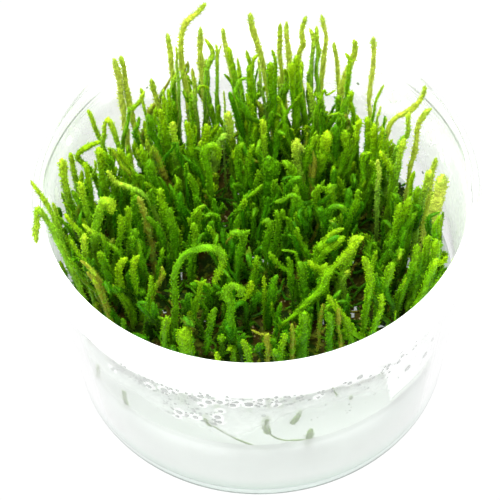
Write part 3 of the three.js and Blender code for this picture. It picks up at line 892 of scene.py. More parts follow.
# %% Pixels of the traced shoots in the middle and in front
TRACED |= {
    "branched_head_right": (9, 0.4, 0, [(330, 185), (331, 197), (330, 207), (328, 217)]),
    "branched_head_left": (9, 0.4, 0, [(319, 184), (316, 196), (318, 208), (321, 219), (327, 228), (332, 236)]),
    "lump_below_branched": (9, 0.55, 0, [(343, 229), (336, 232), (330, 237), (325, 243), (319, 249)]),
    "under_lump": (8, 0.5, 0, [(345, 236), (337, 243), (329, 249), (322, 257)]),
    "knob_left_of_centre": (6.5, 0.45, 0, [(205, 205), (199, 208), (199, 218), (197, 232)]),
    "upright_over_arch": (8, 0.4, 0, [(193, 224), (195, 234), (195, 244), (192, 256), (191, 270), (193, 282)]),
    "small_inside_arch": (6, 0.4, 0, [(208, 226), (212, 233), (216, 241)]),
    "t_head_left": (8, 0.35, 0, [(229, 235), (236, 232), (243, 234), (243, 243), (240, 254), (238, 268), (236, 282)]),
    "t_head_right": (7, 0.35, 0, [(250, 230), (246, 233), (243, 240)]),
    "small_deep_green": (6, 0.25, 0, [(237, 215), (236, 226), (235, 238)]),
    "cluster_left": (7.5, 0.35, 0, [(261, 223), (268, 220), (270, 230), (267, 243)]),
    "cluster_middle": (8, 0.35, 0, [(276, 211), (279, 222), (278, 234), (275, 245)]),
    "cluster_right": (6.5, 0.35, 0, [(284, 209), (285, 217), (291, 225)]),
    "right_of_cluster": (6.5, 0.4, 0, [(297, 227), (299, 237), (304, 246), (309, 254)]),
    "bent_in_middle": (6.5, 0.4, 0, [(269, 252), (275, 260), (282, 268), (291, 275)]),
    "knob_in_middle": (6, 0.35, 0, [(288, 257), (290, 266), (291, 276)]),
    "lying_in_middle": (5, 0.35, 0, [(282, 250), (291, 252), (296, 258)]),
    "olive_slim": (5, 0.6, 0.1, [(263, 276), (264, 286), (264, 297)]),
    "long_deep_green": (9, 0.2, 0, [(277, 276), (272, 285), (272, 298), (269, 312), (268, 327)]),
    "wide_deep_green": (9, 0.3, 0, [(300, 262), (303, 275), (304, 290)]),
    "front_upright": (7, 0.4, 0, [(256, 256), (256, 269), (254, 281), (253, 295), (255, 310)]),
    "bright_strand": (6.5, 0.6, 0, [(251, 281), (252, 287), (249, 294), (243, 300), (236, 305), (231, 310)]),
    "three_lobed_left": (6, 0.5, 0, [(194, 281), (200, 285), (199, 294), (195, 305), (192, 317), (190, 330)]),
    "three_lobed_right": (5.5, 0.5, 0, [(207, 280), (202, 285), (199, 292)]),
    "front_left_smooth": (7, 0.35, 0, [(216, 307), (213, 318), (210, 331), (208, 345), (206, 358)]),
    "front_left_stout": (15, 0.5, 0, [(184, 328), (185, 338), (187, 351)]),
    "front_left_stub": (8, 0.45, 0, [(166, 317), (165, 330), (165, 345)]),
    "front_bump": (6, 0.6, 0, [(217, 354), (218, 362)]),
    "front_small": (7, 0.5, 0, [(243, 340), (246, 348), (248, 359)]),
    "front_yellow_lump": (7, 0.7, 0.4, [(268, 335), (267, 346), (267, 355)]),
    "front_yellow_arm": (5, 0.6, 0.5, [(250, 331), (258, 334), (266, 337)]),
    "front_right_blunt": (7, 0.5, 0, [(285, 334), (282, 345), (280, 356)]),
    "front_right_stout": (12, 0.35, 0, [(303, 313), (304, 327), (303, 341), (302, 356)]),
    "front_right_green": (8, 0.3, 0, [(328, 314), (330, 327), (329, 341), (329, 352)]),
    "front_olive_1": (5, 0.5, 0.4, [(323, 303), (322, 314), (320, 326)]),
    "front_olive_2": (6, 0.5, 0.4, [(338, 308), (340, 322), (341, 338)]),
    "front_olive_3": (6, 0.5, 0.5, [(293, 325), (293, 336), (292, 348)]),
    "bent_into_diagonal": (6.5, 0.55, 0, [(309, 261), (315, 266), (320, 270), (323, 277)]),
    "head_of_diagonal": (9, 0.7, 0, [(363, 237), (359, 240), (353, 245)]),
    "stout_part_of_diagonal": (9.5, 0.5, 0, [(325, 264), (325, 276), (322, 288), (314, 297), (304, 307), (297, 314)]),
    "arm_of_forked": (5.5, 0.5, 0, [(377, 250), (375, 258), (373, 266), (371, 274)]),
    "front_right_upright": (7, 0.55, 0, [(382, 295), (382, 308), (378, 318), (375, 328), (372, 338)]),
    "right_front_green_1": (9, 0.45, 0, [(393, 263), (390, 275), (385, 286), (381, 297)]),
    "right_front_green_2": (8, 0.45, 0, [(418, 245), (416, 256), (413, 267), (409, 277), (404, 288), (400, 300)]),
    "right_front_green_3": (8, 0.5, 0, [(430, 236), (427, 250), (424, 263), (420, 276), (415, 290)]),
    "right_front_green_4": (9, 0.5, 0, [(436, 240), (436, 255), (434, 270), (428, 284)]),
    "right_stub": (7.5, 0.6, 0, [(446, 257), (443, 262), (438, 264), (433, 266)]),
    "along_right_rim": (5, 0.6, 0, [(455, 259), (449, 268), (441, 278), (434, 287)]),
    "left_round_head": (10, 0.7, 0, [(112, 214), (111, 205), (106, 200), (101, 207), (98, 220), (95, 235),
                                 (95, 252), (97, 268)]),
    "left_upright": (7, 0.5, 0, [(127, 206), (128, 217), (129, 229), (129, 241), (129, 252)]),
    "left_upright_twin": (7, 0.5, 0, [(120, 215), (121, 228), (119, 240), (117, 250)]),
    "left_green_behind": (8, 0.3, 0, [(136, 194), (135, 212), (139, 228), (141, 245)]),
    "left_straw": (8, 0.9, 0.45, [(137, 197), (142, 208), (146, 219), (148, 227)]),
    "left_hook_head": (6.5, 0.6, 0, [(139, 255), (135, 258), (133, 266), (133, 278), (135, 290), (138, 303)]),
    "left_bright_stub": (6.5, 0.45, 0, [(149, 276), (150, 290), (148, 302), (146, 314)]),
    "left_olive_stub": (5.5, 0.6, 0.4, [(162, 267), (161, 276), (157, 285), (153, 293)]),
    "left_diagonal": (6.5, 0.8, 0, [(107, 171), (116, 182), (128, 187), (138, 191), (147, 198), (153, 208)]),
    "left_yellow_1": (6, 0.8, 0.5, [(80, 261), (90, 268), (97, 278), (102, 288)]),
    "left_yellow_2": (5, 0.7, 0.45, [(87, 272), (93, 281), (98, 290)]),
    "left_pale_round": (7, 0.75, 0, [(84, 234), (84, 246), (85, 258), (88, 272)]),
    "left_toothed": (6, 0.65, 0, [(65, 214), (71, 221), (78, 232), (84, 245)]),
    "left_rim_1": (6, 0.5, 0.2, [(56, 240), (66, 256), (76, 270), (87, 284), (97, 294)]),
    "left_rim_2": (6, 0.55, 0, [(70, 240), (80, 256), (91, 270)]),
}
traced = {name: traced_line(pixels, tip_under_canopy(pixels[0])) for name, (*_, pixels) in TRACED.items()}
print("traced shoots:", len(traced))

# %% [markdown]
# ### Shoots that fill the stand
#
# The rest of the stand is seen as a mass. Its shoots stand at random places that keep a little distance from all the
# others, lean outwards and waver. A third of them reach the canopy, and the others stay below it, so that the tall
# ones show more of their length. Near the front they are shorter and many of them bend over. Where one would rise
# above the stand's outline in the photograph, or cover one of the hollows that lets the light wall, the jelly or the
# dark ground show, it is cut short.

# %% Outline of the stand and its hollows, in pixels
OUTLINE_LEFT_X = [40, 60, 75, 95, 110, 125, 140, 150, 160, 172, 190, 202, 215, 226, 240, 255]
OUTLINE_LEFT_Y = [240, 190, 172, 152, 140, 112, 96, 98, 86, 66, 56, 48, 60, 60, 58, 52]
OUTLINE_RIGHT_X = [300, 312, 325, 340, 352, 358, 384, 396, 403, 411, 432, 442, 446, 460]
OUTLINE_RIGHT_Y = [50, 62, 86, 80, 90, 110, 118, 136, 175, 188, 184, 192, 258, 275]
OUTLINE_X, OUTLINE_Y = OUTLINE_LEFT_X + OUTLINE_RIGHT_X, OUTLINE_LEFT_Y + OUTLINE_RIGHT_Y
OUTLINE_RAGGED = 14
KEPT_STEP, KEPT_LEAST = 5, 20
HOLLOWS = {
    "dark_gap_centre": (224, 190, 8, 38),
    "brown_gap_right": (358, 287, 10, 37),
    "dark_gap_right": (372, 222, 11, 17),
    "litter_left": (165, 298, 8, 17),
    "dark_left": (152, 243, 6, 18),
    "litter_in_arch": (183, 285, 4, 17),
    "inside_arch": (207, 268, 8, 14),
    "dark_hole_front": (289, 302, 8, 12),
    "dark_front": (262, 320, 9, 9),
    "front_ground_left": (200, 343, 4, 12),
    "front_ground_right": (314, 335, 5, 14),
    "pale_slit_1": (229, 112, 5, 20),
    "pale_slit_2": (236, 138, 2.5, 12),
    "pale_slit_3": (262, 90, 3, 24),
    "pale_slit_4": (187, 108, 2.5, 9),
    "pale_slit_5": (200, 122, 2.5, 14),
    "pale_slit_6": (215, 92, 2, 22),
    "pale_slit_7": (275, 82, 2, 9),
    "pale_hole_1": (291, 120, 4, 8),
    "pale_hole_2": (331, 104, 5, 7),
    "pale_hole_3": (361, 140, 4, 8),
    "pale_hole_4": (358, 167, 3, 5),
    "pale_slit_8": (304, 105, 2, 12),
    "pale_slit_9": (154, 134, 2.5, 6),
    "pale_left_1": (131, 135, 2, 9),
    "pale_left_2": (143, 118, 3, 14),
    "pale_left_3": (117, 168, 4, 10),
    "pale_left_4": (135, 166, 6, 7),
    "pale_left_5": (93, 190, 4, 11),
    "pale_left_6": (112, 134, 2.5, 8),
    "pale_left_7": (111, 228, 3, 8),
    "pale_left_8": (59, 252, 3, 6),
    "pale_left_9": (92, 300, 6, 6),
    "pale_right_1": (401, 127, 4, 8),
    "pale_right_2": (402, 180, 3, 24),
    "pale_right_3": (411, 140, 3, 22),
    "pale_right_4": (409, 207, 2, 9),
    "pale_right_5": (428, 249, 3, 8),
    "pale_right_6": (404, 258, 3, 11),
    "pale_right_7": (396, 219, 2.5, 4),
}


def in_hollow(across, down):
    """Which of the given pixels lie in a hollow of the stand."""
    found = np.zeros(len(across), bool)
    for x, y, half_width, half_height in HOLLOWS.values():
        found |= ((across - x) / half_width) ** 2 + ((down - y) / half_height) ** 2 < 1
    return found


def cut_short(line):
    """The part of a centre line, from its foot, under the outline and before the first hollow."""
    fine = smooth_line(line)
    across, down = photo_pixels(fine)
    lowest = np.interp(across, OUTLINE_X, OUTLINE_Y) + dice.uniform(0, OUTLINE_RAGGED)
    shown = (down < lowest) | in_hollow(across, down)
    kept = fine[: np.argmax(shown)] if shown.any() else fine
    return kept[::KEPT_STEP] if len(kept) > KEPT_LEAST else kept[:0]


print("hollows:", len(HOLLOWS))

# %% Random shoots between the others
LEAST_GAP = 1.75
LEAST_GAP_BACK = 1.5
FRONT_TO_BACK = (5, 25)
TRIES = 16000
TALL_SHARE = 0.35
TALL_HEIGHTS = (0.88, 1.03)
LOW_HEIGHT, LOW_HEIGHT_FRONT, LOW_HEIGHT_BACK = 0.82, 0.35, 0.5
STRIDE = 3.5
HEADING_SPREAD, HEADING_CHANGE, HEADING_RETURN = 0.14, 0.18, 0.3
BENT_SHARE, BENT_SHARE_FRONT = 0.4, 0.25
BEND_STEP = 1.5
BEND_ANGLES = (35, 60)


def inside_stand(place):
    """True if a place lies in the footprint of the stand and off the wall."""
    return out_of_stand(*place) < 1 and math.hypot(*place) < wall_radius(FOOT_Z) - WALL_ROOM


feet = [line[0][:2] for line in traced.values()] + [shoot[0][0][:2] for shoot in separate.values()]
known = len(feet)
for _ in range(TRIES):
    place = STAND_MIDDLE + STAND_RADII * dice.uniform(-1, 1, 2)
    gap = np.interp(place[1], FRONT_TO_BACK, (LEAST_GAP, LEAST_GAP_BACK))
    if inside_stand(place) and np.min(np.sum((np.array(feet) - place) ** 2, 1)) > gap**2:
        feet.append(place)


def random_line(foot):
    """Centre line of a filling shoot, foot first: a wavering climb to below the canopy, some with a bent head."""
    in_front = np.interp(foot[1], (-18, 6), (1.0, 0.0))
    lowest = np.interp(foot[1], FRONT_TO_BACK, (LOW_HEIGHT_FRONT, LOW_HEIGHT_BACK))
    heights = TALL_HEIGHTS if dice.random() < TALL_SHARE else (lowest, LOW_HEIGHT)
    share = dice.uniform(*heights) - 0.15 * in_front * dice.random()
    rise = (canopy(*foot) - FOOT_Z) * share
    lean = FAN * 1.5 * (foot - FAN_MIDDLE)
    heading = lean + dice.normal(0, HEADING_SPREAD, 2)
    points = [np.array([*foot, FOOT_Z])]
    strides = max(3, round(rise / STRIDE))
    for _ in range(strides):
        heading += dice.normal(0, HEADING_CHANGE, 2) + HEADING_RETURN * (lean - heading)
        points.append(inside_wall(points[-1] + np.array([*heading, 1.0]) * rise / strides))
    if dice.random() < BENT_SHARE + BENT_SHARE_FRONT * in_front:
        way = dice.uniform(0, math.tau)
        sideways = np.array([math.cos(way), math.sin(way), 0.0])
        for bend in np.radians(np.arange(1, dice.integers(2, 5)) * dice.uniform(*BEND_ANGLES)):
            step = sideways * math.sin(bend) + np.array([0, 0, math.cos(bend)])
            points.append(inside_wall(points[-1] + BEND_STEP * step))
    return cut_short(np.array(points))


filling = [line for line in (random_line(foot) for foot in feet[known:]) if len(line)]
print("filling shoots:", len(filling), "of", len(feet) - known)

# %% [markdown]
# ### Side shoots
#
# Flame moss branches now and then: a short bud leaves a shoot some millimetres under its tip and points up beside it.

# %% Side shoots
def side_shoot(line, up_from_foot, length, way):
    """A short branch that leaves a centre line at a share of its length and turns up beside it."""
    smooth = smooth_line(line)
    start = smooth[int(up_from_foot * (len(smooth) - 1))]
    out = np.array([math.cos(way), math.sin(way), 0.0])
    rise = np.array([0.0, 0.0, 1.0])
    points = (start, start + (out + rise) * 0.35 * length, start + out * 0.5 * length + rise * length)
    return np.array([inside_wall(point) for point in points])


def nearest_clump(foot):
    """Number of the clump whose middle is closest to a foot."""
    return int(np.argmin(np.sum((clump_middles - foot[:2]) ** 2, 1)))


DRY_SHARE = 0.06
BUD_SHARE, BUD_THICKNESS = 0.25, 0.85
TONE_LEAST, TONE_RISE, TONE_SPREAD = 0.12, 0.44, 0.16

clump_names = sorted((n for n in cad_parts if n.startswith("moss_clump_")), key=lambda n: int(n.split("_")[-1]))
clump_middles = np.array([[(a + b) / 2 / MM for a, b in zip(*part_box(name))][:2] for name in clump_names])
clumps = [[] for _ in clump_names]


def tone_of_place(foot):
    """A random tone: deep green in the middle and in front, yellower towards the sides and the back."""
    backwards = np.interp(foot[1], (-25, 10, 40), (-0.35, 0.0, 0.25))
    middle = TONE_LEAST + TONE_RISE * out_of_stand(*foot[:2]) + backwards
    return float(np.clip(dice.normal(middle, TONE_SPREAD), 0, 1))


for name, line in traced.items():
    thickness, tone, dry, _ = TRACED[name]
    head = 1.0 if thickness > 6 else 0.7
    clumps[nearest_clump(line[0])].append(leafy_shoot(line, thickness, tone, dry, head, astray=0.2, ageing=0.6))
for line in filling:
    group = clumps[nearest_clump(line[0])]
    tone = tone_of_place(line[0])
    thickness = dice.uniform(4.5, np.interp(line[0][1], FRONT_TO_BACK, (8.5, 7.5)))
    dry = dice.uniform(0.15, 0.6) if dice.random() < DRY_SHARE else 0.0
    ageing = np.interp(line[0][1], (-20, 5), (2.2, 1.0))
    group.append(leafy_shoot(line, thickness, tone, dry, dice.uniform(0.5, 1.0), ageing=ageing))
    if dice.random() < BUD_SHARE:
        bud = side_shoot(line, dice.uniform(0.6, 0.9), dice.uniform(2.0, 5.0), dice.uniform(0, math.tau))
        group.append(leafy_shoot(bud, thickness * BUD_THICKNESS, tone, dry))
print("clumps:", len(clumps), "with", sum(len(group) for group in clumps), "shoots")

# %% [markdown]
# ### Litter and old threads on the jelly
#
# Between the feet the jelly is covered by a felt of old moss, brown and dark green, whose near-black green also
# paints the deep shade there. Seen from above it is a lumpy sheet with torn edges, so it starts as a flat grid: noise
# lifts its points, the faces outside the stand and some ragged holes are deleted, and what is left is extruded down to
# the jelly, so that it is closed.

# %% Litter sheet
LITTER_CELLS = (120, 90)
LITTER_MARGIN = 1.5
LITTER_HEIGHT, LITTER_HILLS, LITTER_LUMPS = 1.2, 1.1, 0.7
LITTER_FOOT = 0.04
LITTER_HOLES = -0.47
LITTER_ROOM = 1.8

bm = bmesh.new()
bmesh.ops.create_grid(bm, x_segments=LITTER_CELLS[0], y_segments=LITTER_CELLS[1], size=1.0)
outside = []
for vert in bm.verts:
    vert.co.xy = [m + c * (r + LITTER_MARGIN) for m, c, r in zip(STAND_MIDDLE, vert.co.xy, STAND_RADII)]
    hill, lump = LITTER_HILLS * noise.noise(vert.co * 0.35), LITTER_LUMPS * noise.noise(vert.co * 1.1)
    vert.co.z = JELLY_TOP + LITTER_HEIGHT + hill + lump
for face in bm.faces:
    x, y, _ = face.calc_center_median()
    ragged = noise.noise(Vector((x * 0.3, y * 0.3, 7.0)))
    off_wall = wall_radius(JELLY_TOP) - math.hypot(x, y)
    if out_of_stand(x, y) > 1.01 + 0.05 * ragged or off_wall < LITTER_ROOM + ragged or ragged < LITTER_HOLES:
        outside.append(face)
bmesh.ops.delete(bm, geom=outside, context="FACES")
lower = bmesh.ops.extrude_face_region(bm, geom=bm.faces[:])
for part in lower["geom"]:
    if isinstance(part, bmesh.types.BMVert):
        part.co.z = JELLY_TOP + LITTER_FOOT
bmesh.ops.scale(bm, verts=bm.verts, vec=(MM, MM, MM))
bmesh.ops.recalc_face_normals(bm, faces=bm.faces)
litter = bm
print("litter:", len(litter.faces), "faces")

# %% [markdown]
# On the litter lie loose threads, dark green and some of them dead. They point in all directions, and the arrays of
# the shoots make them too.

# %% Loose threads
THREADS = 300
THREAD_THICKNESS = 4.5
THREAD_STEP = 2.4
DEAD_THREADS = 0.2


def lying_line():
    """Centre line of a thread that lies on the jelly within the stand."""
    turn, reach = dice.uniform(0, math.tau), math.sqrt(dice.random()) * 0.97
    place = STAND_MIDDLE + STAND_RADII * reach * np.array([math.cos(turn), math.sin(turn)])
    way = dice.uniform(0, math.tau)
    points = [np.array([*place, FOOT_Z + dice.uniform(0.8, 2.8)])]
    for _ in range(3):
        way += dice.normal(0, 0.5)
        rise = np.clip(dice.normal(0, 0.25), (FOOT_Z - points[-1][2]) / 3, 0.5)
        points.append(inside_wall(points[-1] + THREAD_STEP * np.array([math.cos(way), math.sin(way), rise])))
    return np.array(points)


mat = []
for _ in range(THREADS):
    dry = dice.uniform(0.7, 1.0) if dice.random() < DEAD_THREADS else 0.0
    mat.append(leafy_shoot(lying_line(), THREAD_THICKNESS, dice.uniform(0, 0.4), dry, density=6.0, ageing=3.0))
print("old threads:", len(mat))

# %% [markdown]
# ### Moss colours
#
# The tips are the youngest part and nearly yellow, the shoots below them a strong green, and the old parts near the
# jelly dark or brown; that darkening towards the foot is also painted shade, deep in the stand. A node group turns the
# attributes of each point into that colour, with a shade of its own for each shoot and leaf. Each leaf is painted
# darker at its base, as painted shade, and lighter at its end, as a painted glint. A second group makes patches of the
# surface wet: smooth there, duller elsewhere; it also gives a grain of small cells, lighter in their middles, which is
# partly painted highlights. The shoots at the edge stand before the bright wall, which shines through them, so their
# material also glows faintly.

# %% Node groups for the moss
def new_group(name, inputs, outputs):
    """A shader node group with named inputs (name, kind, value) and outputs (name, kind)."""
    group = bpy.data.node_groups.new(name, "ShaderNodeTree")
    for label, kind, value in inputs:
        group.interface.new_socket(label, in_out="INPUT", socket_type=kind).default_value = value
    for label, kind in outputs:
        group.interface.new_socket(label, in_out="OUTPUT", socket_type=kind)
    return group, group.nodes.new("NodeGroupInput").outputs, group.nodes.new("NodeGroupOutput").inputs


def point_value(tree, name):
    """The output of a float attribute of the mesh."""
    return add_node(tree, "ShaderNodeAttribute", attribute_name=name).outputs["Fac"]


COLOUR, NUMBER = "NodeSocketColor", "NodeSocketFloat"
tones, given, result = new_group(
    "moss_tones",
    [
        ("Tip Length", NUMBER, 7.0),
        ("Tip Colour", COLOUR, (0.5, 0.6, 0.05, 1)),
        ("Shoot Colour", COLOUR, (0.2, 0.5, 0.02, 1)),
        ("Foot Colour", COLOUR, (0.04, 0.12, 0.01, 1)),
        ("Straw Colour", COLOUR, (0.4, 0.34, 0.04, 1)),
        ("Brown Colour", COLOUR, (0.1, 0.06, 0.01, 1)),
    ],
    [("Colour", COLOUR)],
)
from_tip, tone = point_value(tones, "from_tip"), point_value(tones, "shoot_tone")
tip_share = ramp_value(tones, from_tip, 0.3, given["Tip Length"], ramp_value(tones, tone, 0, 1, 0.15, 0.8), 0.0)
fresh = colour_mix(tones, tip_share, given["Shoot Colour"], given["Tip Colour"])
# Painted shade: the foot colour is partly the old parts' own colour and partly the shade deep in the stand.
foot_and_shade_share = ramp_value(tones, from_tip, 5.0, 22.0, 0.0, ramp_value(tones, tone, 0, 0.8, 1.0, 0.2))
aged_and_shaded = colour_mix(tones, foot_and_shade_share, fresh, given["Foot Colour"])
own_value = ramp_value(tones, tone, 0, 1, 0.68, 1.8)
own_hue, own_depth = ramp_value(tones, tone, 0, 1, 0.505, 0.455), ramp_value(tones, tone, 0.6, 1, 1.0, 0.92)
own_tone = brighten(tones, aged_and_shaded, own_value, own_hue, own_depth)
leaf_tone = brighten(tones, own_tone, ramp_value(tones, point_value(tones, "leaf_tone"), 0, 1, 0.55, 1.3))
along_leaf = point_value(tones, "along_leaf")
# Painted light: each leaf is darker at its base, as painted shade, and takes the tip colour at its end, as a painted
# glint.
leaf_shade = brighten(tones, leaf_tone, ramp_value(tones, along_leaf, 0, 0.8, 0.7, 1.15))
tip_glint_painted = ramp_value(tones, along_leaf, 0.4, 1.0, 0.0, ramp_value(tones, tone, 0, 1, 0.3, 0.55))
pointed = colour_mix(tones, tip_glint_painted, leaf_shade, given["Tip Colour"])
decay = ramp_value(tones, object_noise(tones, 450.0, 3.0), 0.4, 0.6, 0.25, 1.3)
dryness = product(tones, point_value(tones, "dryness"), decay)
straw = colour_mix(tones, ramp_value(tones, dryness, 0, 0.5, 0.0, 0.9), pointed, given["Straw Colour"])
brown = colour_mix(tones, ramp_value(tones, dryness, 0.6, 1.1), straw, given["Brown Colour"])
tones.links.new(brown, result["Colour"])

wet, given, result = new_group(
    "wet_velvet",
    [("Scale", NUMBER, 900.0), ("Grain Scale", NUMBER, 2800.0), ("Dull", NUMBER, 0.6), ("Wet", NUMBER, 0.2)],
    [("Roughness", NUMBER), ("Grain And Glints", NUMBER), ("Height", NUMBER)],
)
film = object_noise(wet, given["Scale"])
cells = add_node(wet, "ShaderNodeTexVoronoi", {"Vector": object_coords(wet), "Scale": given["Grain Scale"]})
off_middle = cells.outputs["Distance"]
wet.links.new(ramp_value(wet, film, 0.45, 0.6, given["Dull"], given["Wet"]), result["Roughness"])
# Painted highlights: each cell is lighter in its middle, where its bump is highest; the cells are partly a grain of the
# leaves.
wet.links.new(ramp_value(wet, off_middle, 0.1, 0.65, 1.25, 0.7), result["Grain And Glints"])
wet.links.new(ramp_value(wet, off_middle, 0.0, 0.7, 1.0, 0.0), result["Height"])

STRAW = (0.28, 0.3, 0.02, 1)
OLD_BROWN = (0.07, 0.05, 0.004, 1)
MOSS_SHINE = 0.14


def moss_material(name, tip, shoot, foot, tip_length=7.0, lit_through=0.0):
    """A leafy surface with its colours and wet patches; lit_through is the share of light from behind that it shows."""
    material, tree, output = new_material(name)
    colours = add_node(tree, "ShaderNodeGroup", node_tree=tones)
    colours.inputs["Tip Length"].default_value = tip_length
    for label, value in zip(("Tip", "Shoot", "Foot", "Straw", "Brown"), (tip, shoot, foot, STRAW, OLD_BROWN)):
        colours.inputs[label + " Colour"].default_value = value
    velvet = add_node(tree, "ShaderNodeGroup", node_tree=wet).outputs
    leafy = principled(
        tree,
        {
            "Base Color": brighten(tree, colours.outputs[0], velvet["Grain And Glints"]),
            "Roughness": velvet["Roughness"],
            "IOR": WATER_IOR,
            "Specular IOR Level": MOSS_SHINE,
            "Emission Color": shoot,
            "Emission Strength": lit_through,
            "Normal": bump_normal(tree, velvet["Height"], 0.5, 0.12),
        },
    )
    tree.links.new(leafy, output.inputs[0])
    return material


MOSS_GREENS = ((0.27, 0.56, 0.004, 1), (0.09, 0.42, 0.002, 1), (0.03, 0.10, 0.001, 1))
BACKLIT_GREENS = ((0.16, 0.4, 0.01, 1), (0.3, 0.48, 0.03, 1), (0.17, 0.36, 0.01, 1))
# Painted light: the greens of the strands on the wall are paler and their material glows, for the lit haze in front.
HAZE_LIT_GREENS = ((0.22, 0.4, 0.08, 1), (0.17, 0.33, 0.07, 1), (0.15, 0.28, 0.07, 1))
moss = moss_material("moss_green", *MOSS_GREENS)
lone_moss = moss_material("moss_pale_green", *BACKLIT_GREENS, 1.8, 0.17)
haze_lit_moss = moss_material("moss_pale", *HAZE_LIT_GREENS, 7.0, 0.18)
print("moss materials made")

# %% [markdown]
# The litter has no shoots to follow, so its colours come from noise in three sizes: large areas of near-black green,
# partly painted shade, and brown, olive lumps in them, and small pale specks: bits of dead leaf and painted glints of
# the wet jelly.

# %% Litter material
# Painted light: the near-black green is partly painted shade between the feet, and the pale specks partly painted
# glints.
LITTER_DARK_AND_SHADE, LITTER_BROWN = (0.01, 0.03, 0.001, 1), (0.05, 0.035, 0.003, 1)
LITTER_OLIVE, LITTER_SPECK_AND_GLINT = (0.09, 0.13, 0.006, 1), (0.5, 0.42, 0.2, 1)

felt, tree, output = new_material("old_moss_felt")
areas, lumps = object_noise(tree, 160.0, 3.0), object_noise(tree, 700.0, 4.0)
specks = add_node(tree, "ShaderNodeTexVoronoi", {"Vector": object_coords(tree), "Scale": 900.0})
ground = colour_mix(tree, ramp_value(tree, areas, 0.4, 0.6), LITTER_DARK_AND_SHADE, LITTER_BROWN)
lumpy = colour_mix(tree, ramp_value(tree, lumps, 0.5, 0.68), ground, LITTER_OLIVE)
in_speck = ramp_value(tree, specks.outputs["Distance"], 0.16, 0.3, 1.0, 0.0)
speck_share = product(tree, in_speck, ramp_value(tree, areas, 0.5, 0.62, 0.0, 0.8))
matted = principled(
    tree,
    {
        "Base Color": colour_mix(tree, speck_share, lumpy, LITTER_SPECK_AND_GLINT),
        "Roughness": 0.6,
        "Specular IOR Level": 0.05,
        "Normal": bump_normal(tree, lumps, 0.8, 0.4),
    },
)
tree.links.new(matted, output.inputs[0])
print("litter material made")

# %% Clumps and separate shoots become pieces
def place_shoots(name, parts, material, slot, *nodes):
    """Joins shoots to one piece and says how many triangles it has."""
    mesh = join_arrays(name, parts)
    place_piece(name, mesh, material, slot, *nodes)
    return len(mesh.polygons)


triangle_count = 0
for name, group in zip(clump_names, clumps):
    triangle_count += place_shoots("leafy_" + name[5:], group, moss, "moss", name)
for name, (line, thickness, tone) in separate.items():
    shoot = leafy_shoot(line, thickness + 1.0, tone, head=0.7, density=13.0, astray=0.12, ageing=0.35)
    colours = lone_moss if name.startswith(("back", "right")) else moss
    triangle_count += place_shoots("leafy_" + name, [shoot], colours, "moss_shoot", "shoot_" + name)
triangle_count += place_shoots("old_threads", mat, moss, "moss")
finish_piece("old_moss_litter", litter, felt, "moss")
print("moss triangles:", triangle_count)

# %% [markdown]
# ## Fog, drops and strands on the wall
#
# The cup was closed until a moment before the photograph, so its wall is still wet inside. The collar is quite white
# with fog, and so is the wall round the larger drops; the front wall below it has a thinner haze with a clearer window
# on the right of its middle, and the back wall has only a breath. Fog is far too fine to model as drops. It is one
# thin ring just inside the wall, turned like the cup, and each of its points holds how thick the fog is there: the
# material makes that its opacity. A strong lamp stands behind real fog; here the fog glows faintly in its place.

# %% Places of the large drops, in pixels, and their radii in millimetres
LARGE_DROPS = {
    "left_tail_1": (150, 384, 0.75),
    "left_tail_2": (165, 388, 0.95),
    "left_tail_3": (178, 388, 0.5),
    "left_tail_4": (174, 390, 0.45),
    "left_tail_5": (187, 391, 0.4),
    "middle_left_1": (200, 394, 0.55),
    "middle_left_2": (209, 400, 0.8),
    "middle_left_3": (220, 400, 0.75),
    "middle_left_4": (202, 403, 0.55),
    "middle_left_5": (233, 403, 0.75),
    "middle_left_6": (237, 400, 0.5),
    "middle_left_7": (227, 398, 0.45),
    "below_left_1": (180, 410, 0.85),
    "below_left_2": (178, 414, 0.6),
    "below_left_3": (196, 415, 0.7),
    "below_left_4": (188, 413, 0.5),
    "below_strand_1": (221, 409, 0.6),
    "below_strand_2": (218, 415, 0.8),
    "below_strand_3": (220, 420, 0.6),
    "middle_1": (249, 402, 1.0),
    "middle_2": (260, 398, 0.65),
    "middle_3": (261, 402, 0.45),
    "middle_4": (276, 395, 0.5),
    "middle_5": (276, 399, 0.4),
    "middle_6": (276, 403, 0.5),
    "right_1": (318, 395, 0.45),
    "right_2": (349, 381, 0.6),
    "right_3": (359, 375, 0.8),
    "right_4": (388, 363, 0.6),
    "right_5": (397, 360, 0.6),
    "right_6": (406, 366, 0.95),
    "right_7": (423, 353, 0.95),
    "left_high_1": (114, 367, 0.6),
    "right_wall_1": (428, 126, 0.55),
    "right_wall_2": (436, 125, 0.5),
    "right_wall_3": (435, 137, 0.8),
    "right_wall_4": (444, 158, 0.45),
    "right_wall_5": (416, 115, 0.5),
    "back_wall_1": (382, 74, 0.6),
    "back_wall_2": (393, 98, 0.45),
    "back_wall_3": (398, 96, 0.5),
    "back_wall_4": (403, 88, 0.4),
    "left_wall_1": (48, 201, 0.6),
    "left_wall_2": (55, 197, 0.55),
    "left_wall_3": (54, 191, 0.4),
    "left_wall_4": (67, 140, 0.55),
}
DROP_INSET = 0.05


def seen_on_wall(pixel, inset):
    """The point where a pixel's sight line crosses the inside of the wall, inset millimetres off it."""
    z = np.arange(58.4, 2.0, -0.05)
    line = sight_line(pixel)
    points = EYE + line * ((z - EYE[2]) / line[2])[:, None]
    off_wall = np.hypot(points[:, 0], points[:, 1]) - (wall_radius(z) - inset)
    return points[np.flatnonzero(np.diff(np.sign(off_wall)))[0]]


large_drops = np.array([[*seen_on_wall((x, y), DROP_INSET), radius] for x, y, radius in LARGE_DROPS.values()])
print("large drops:", len(large_drops))

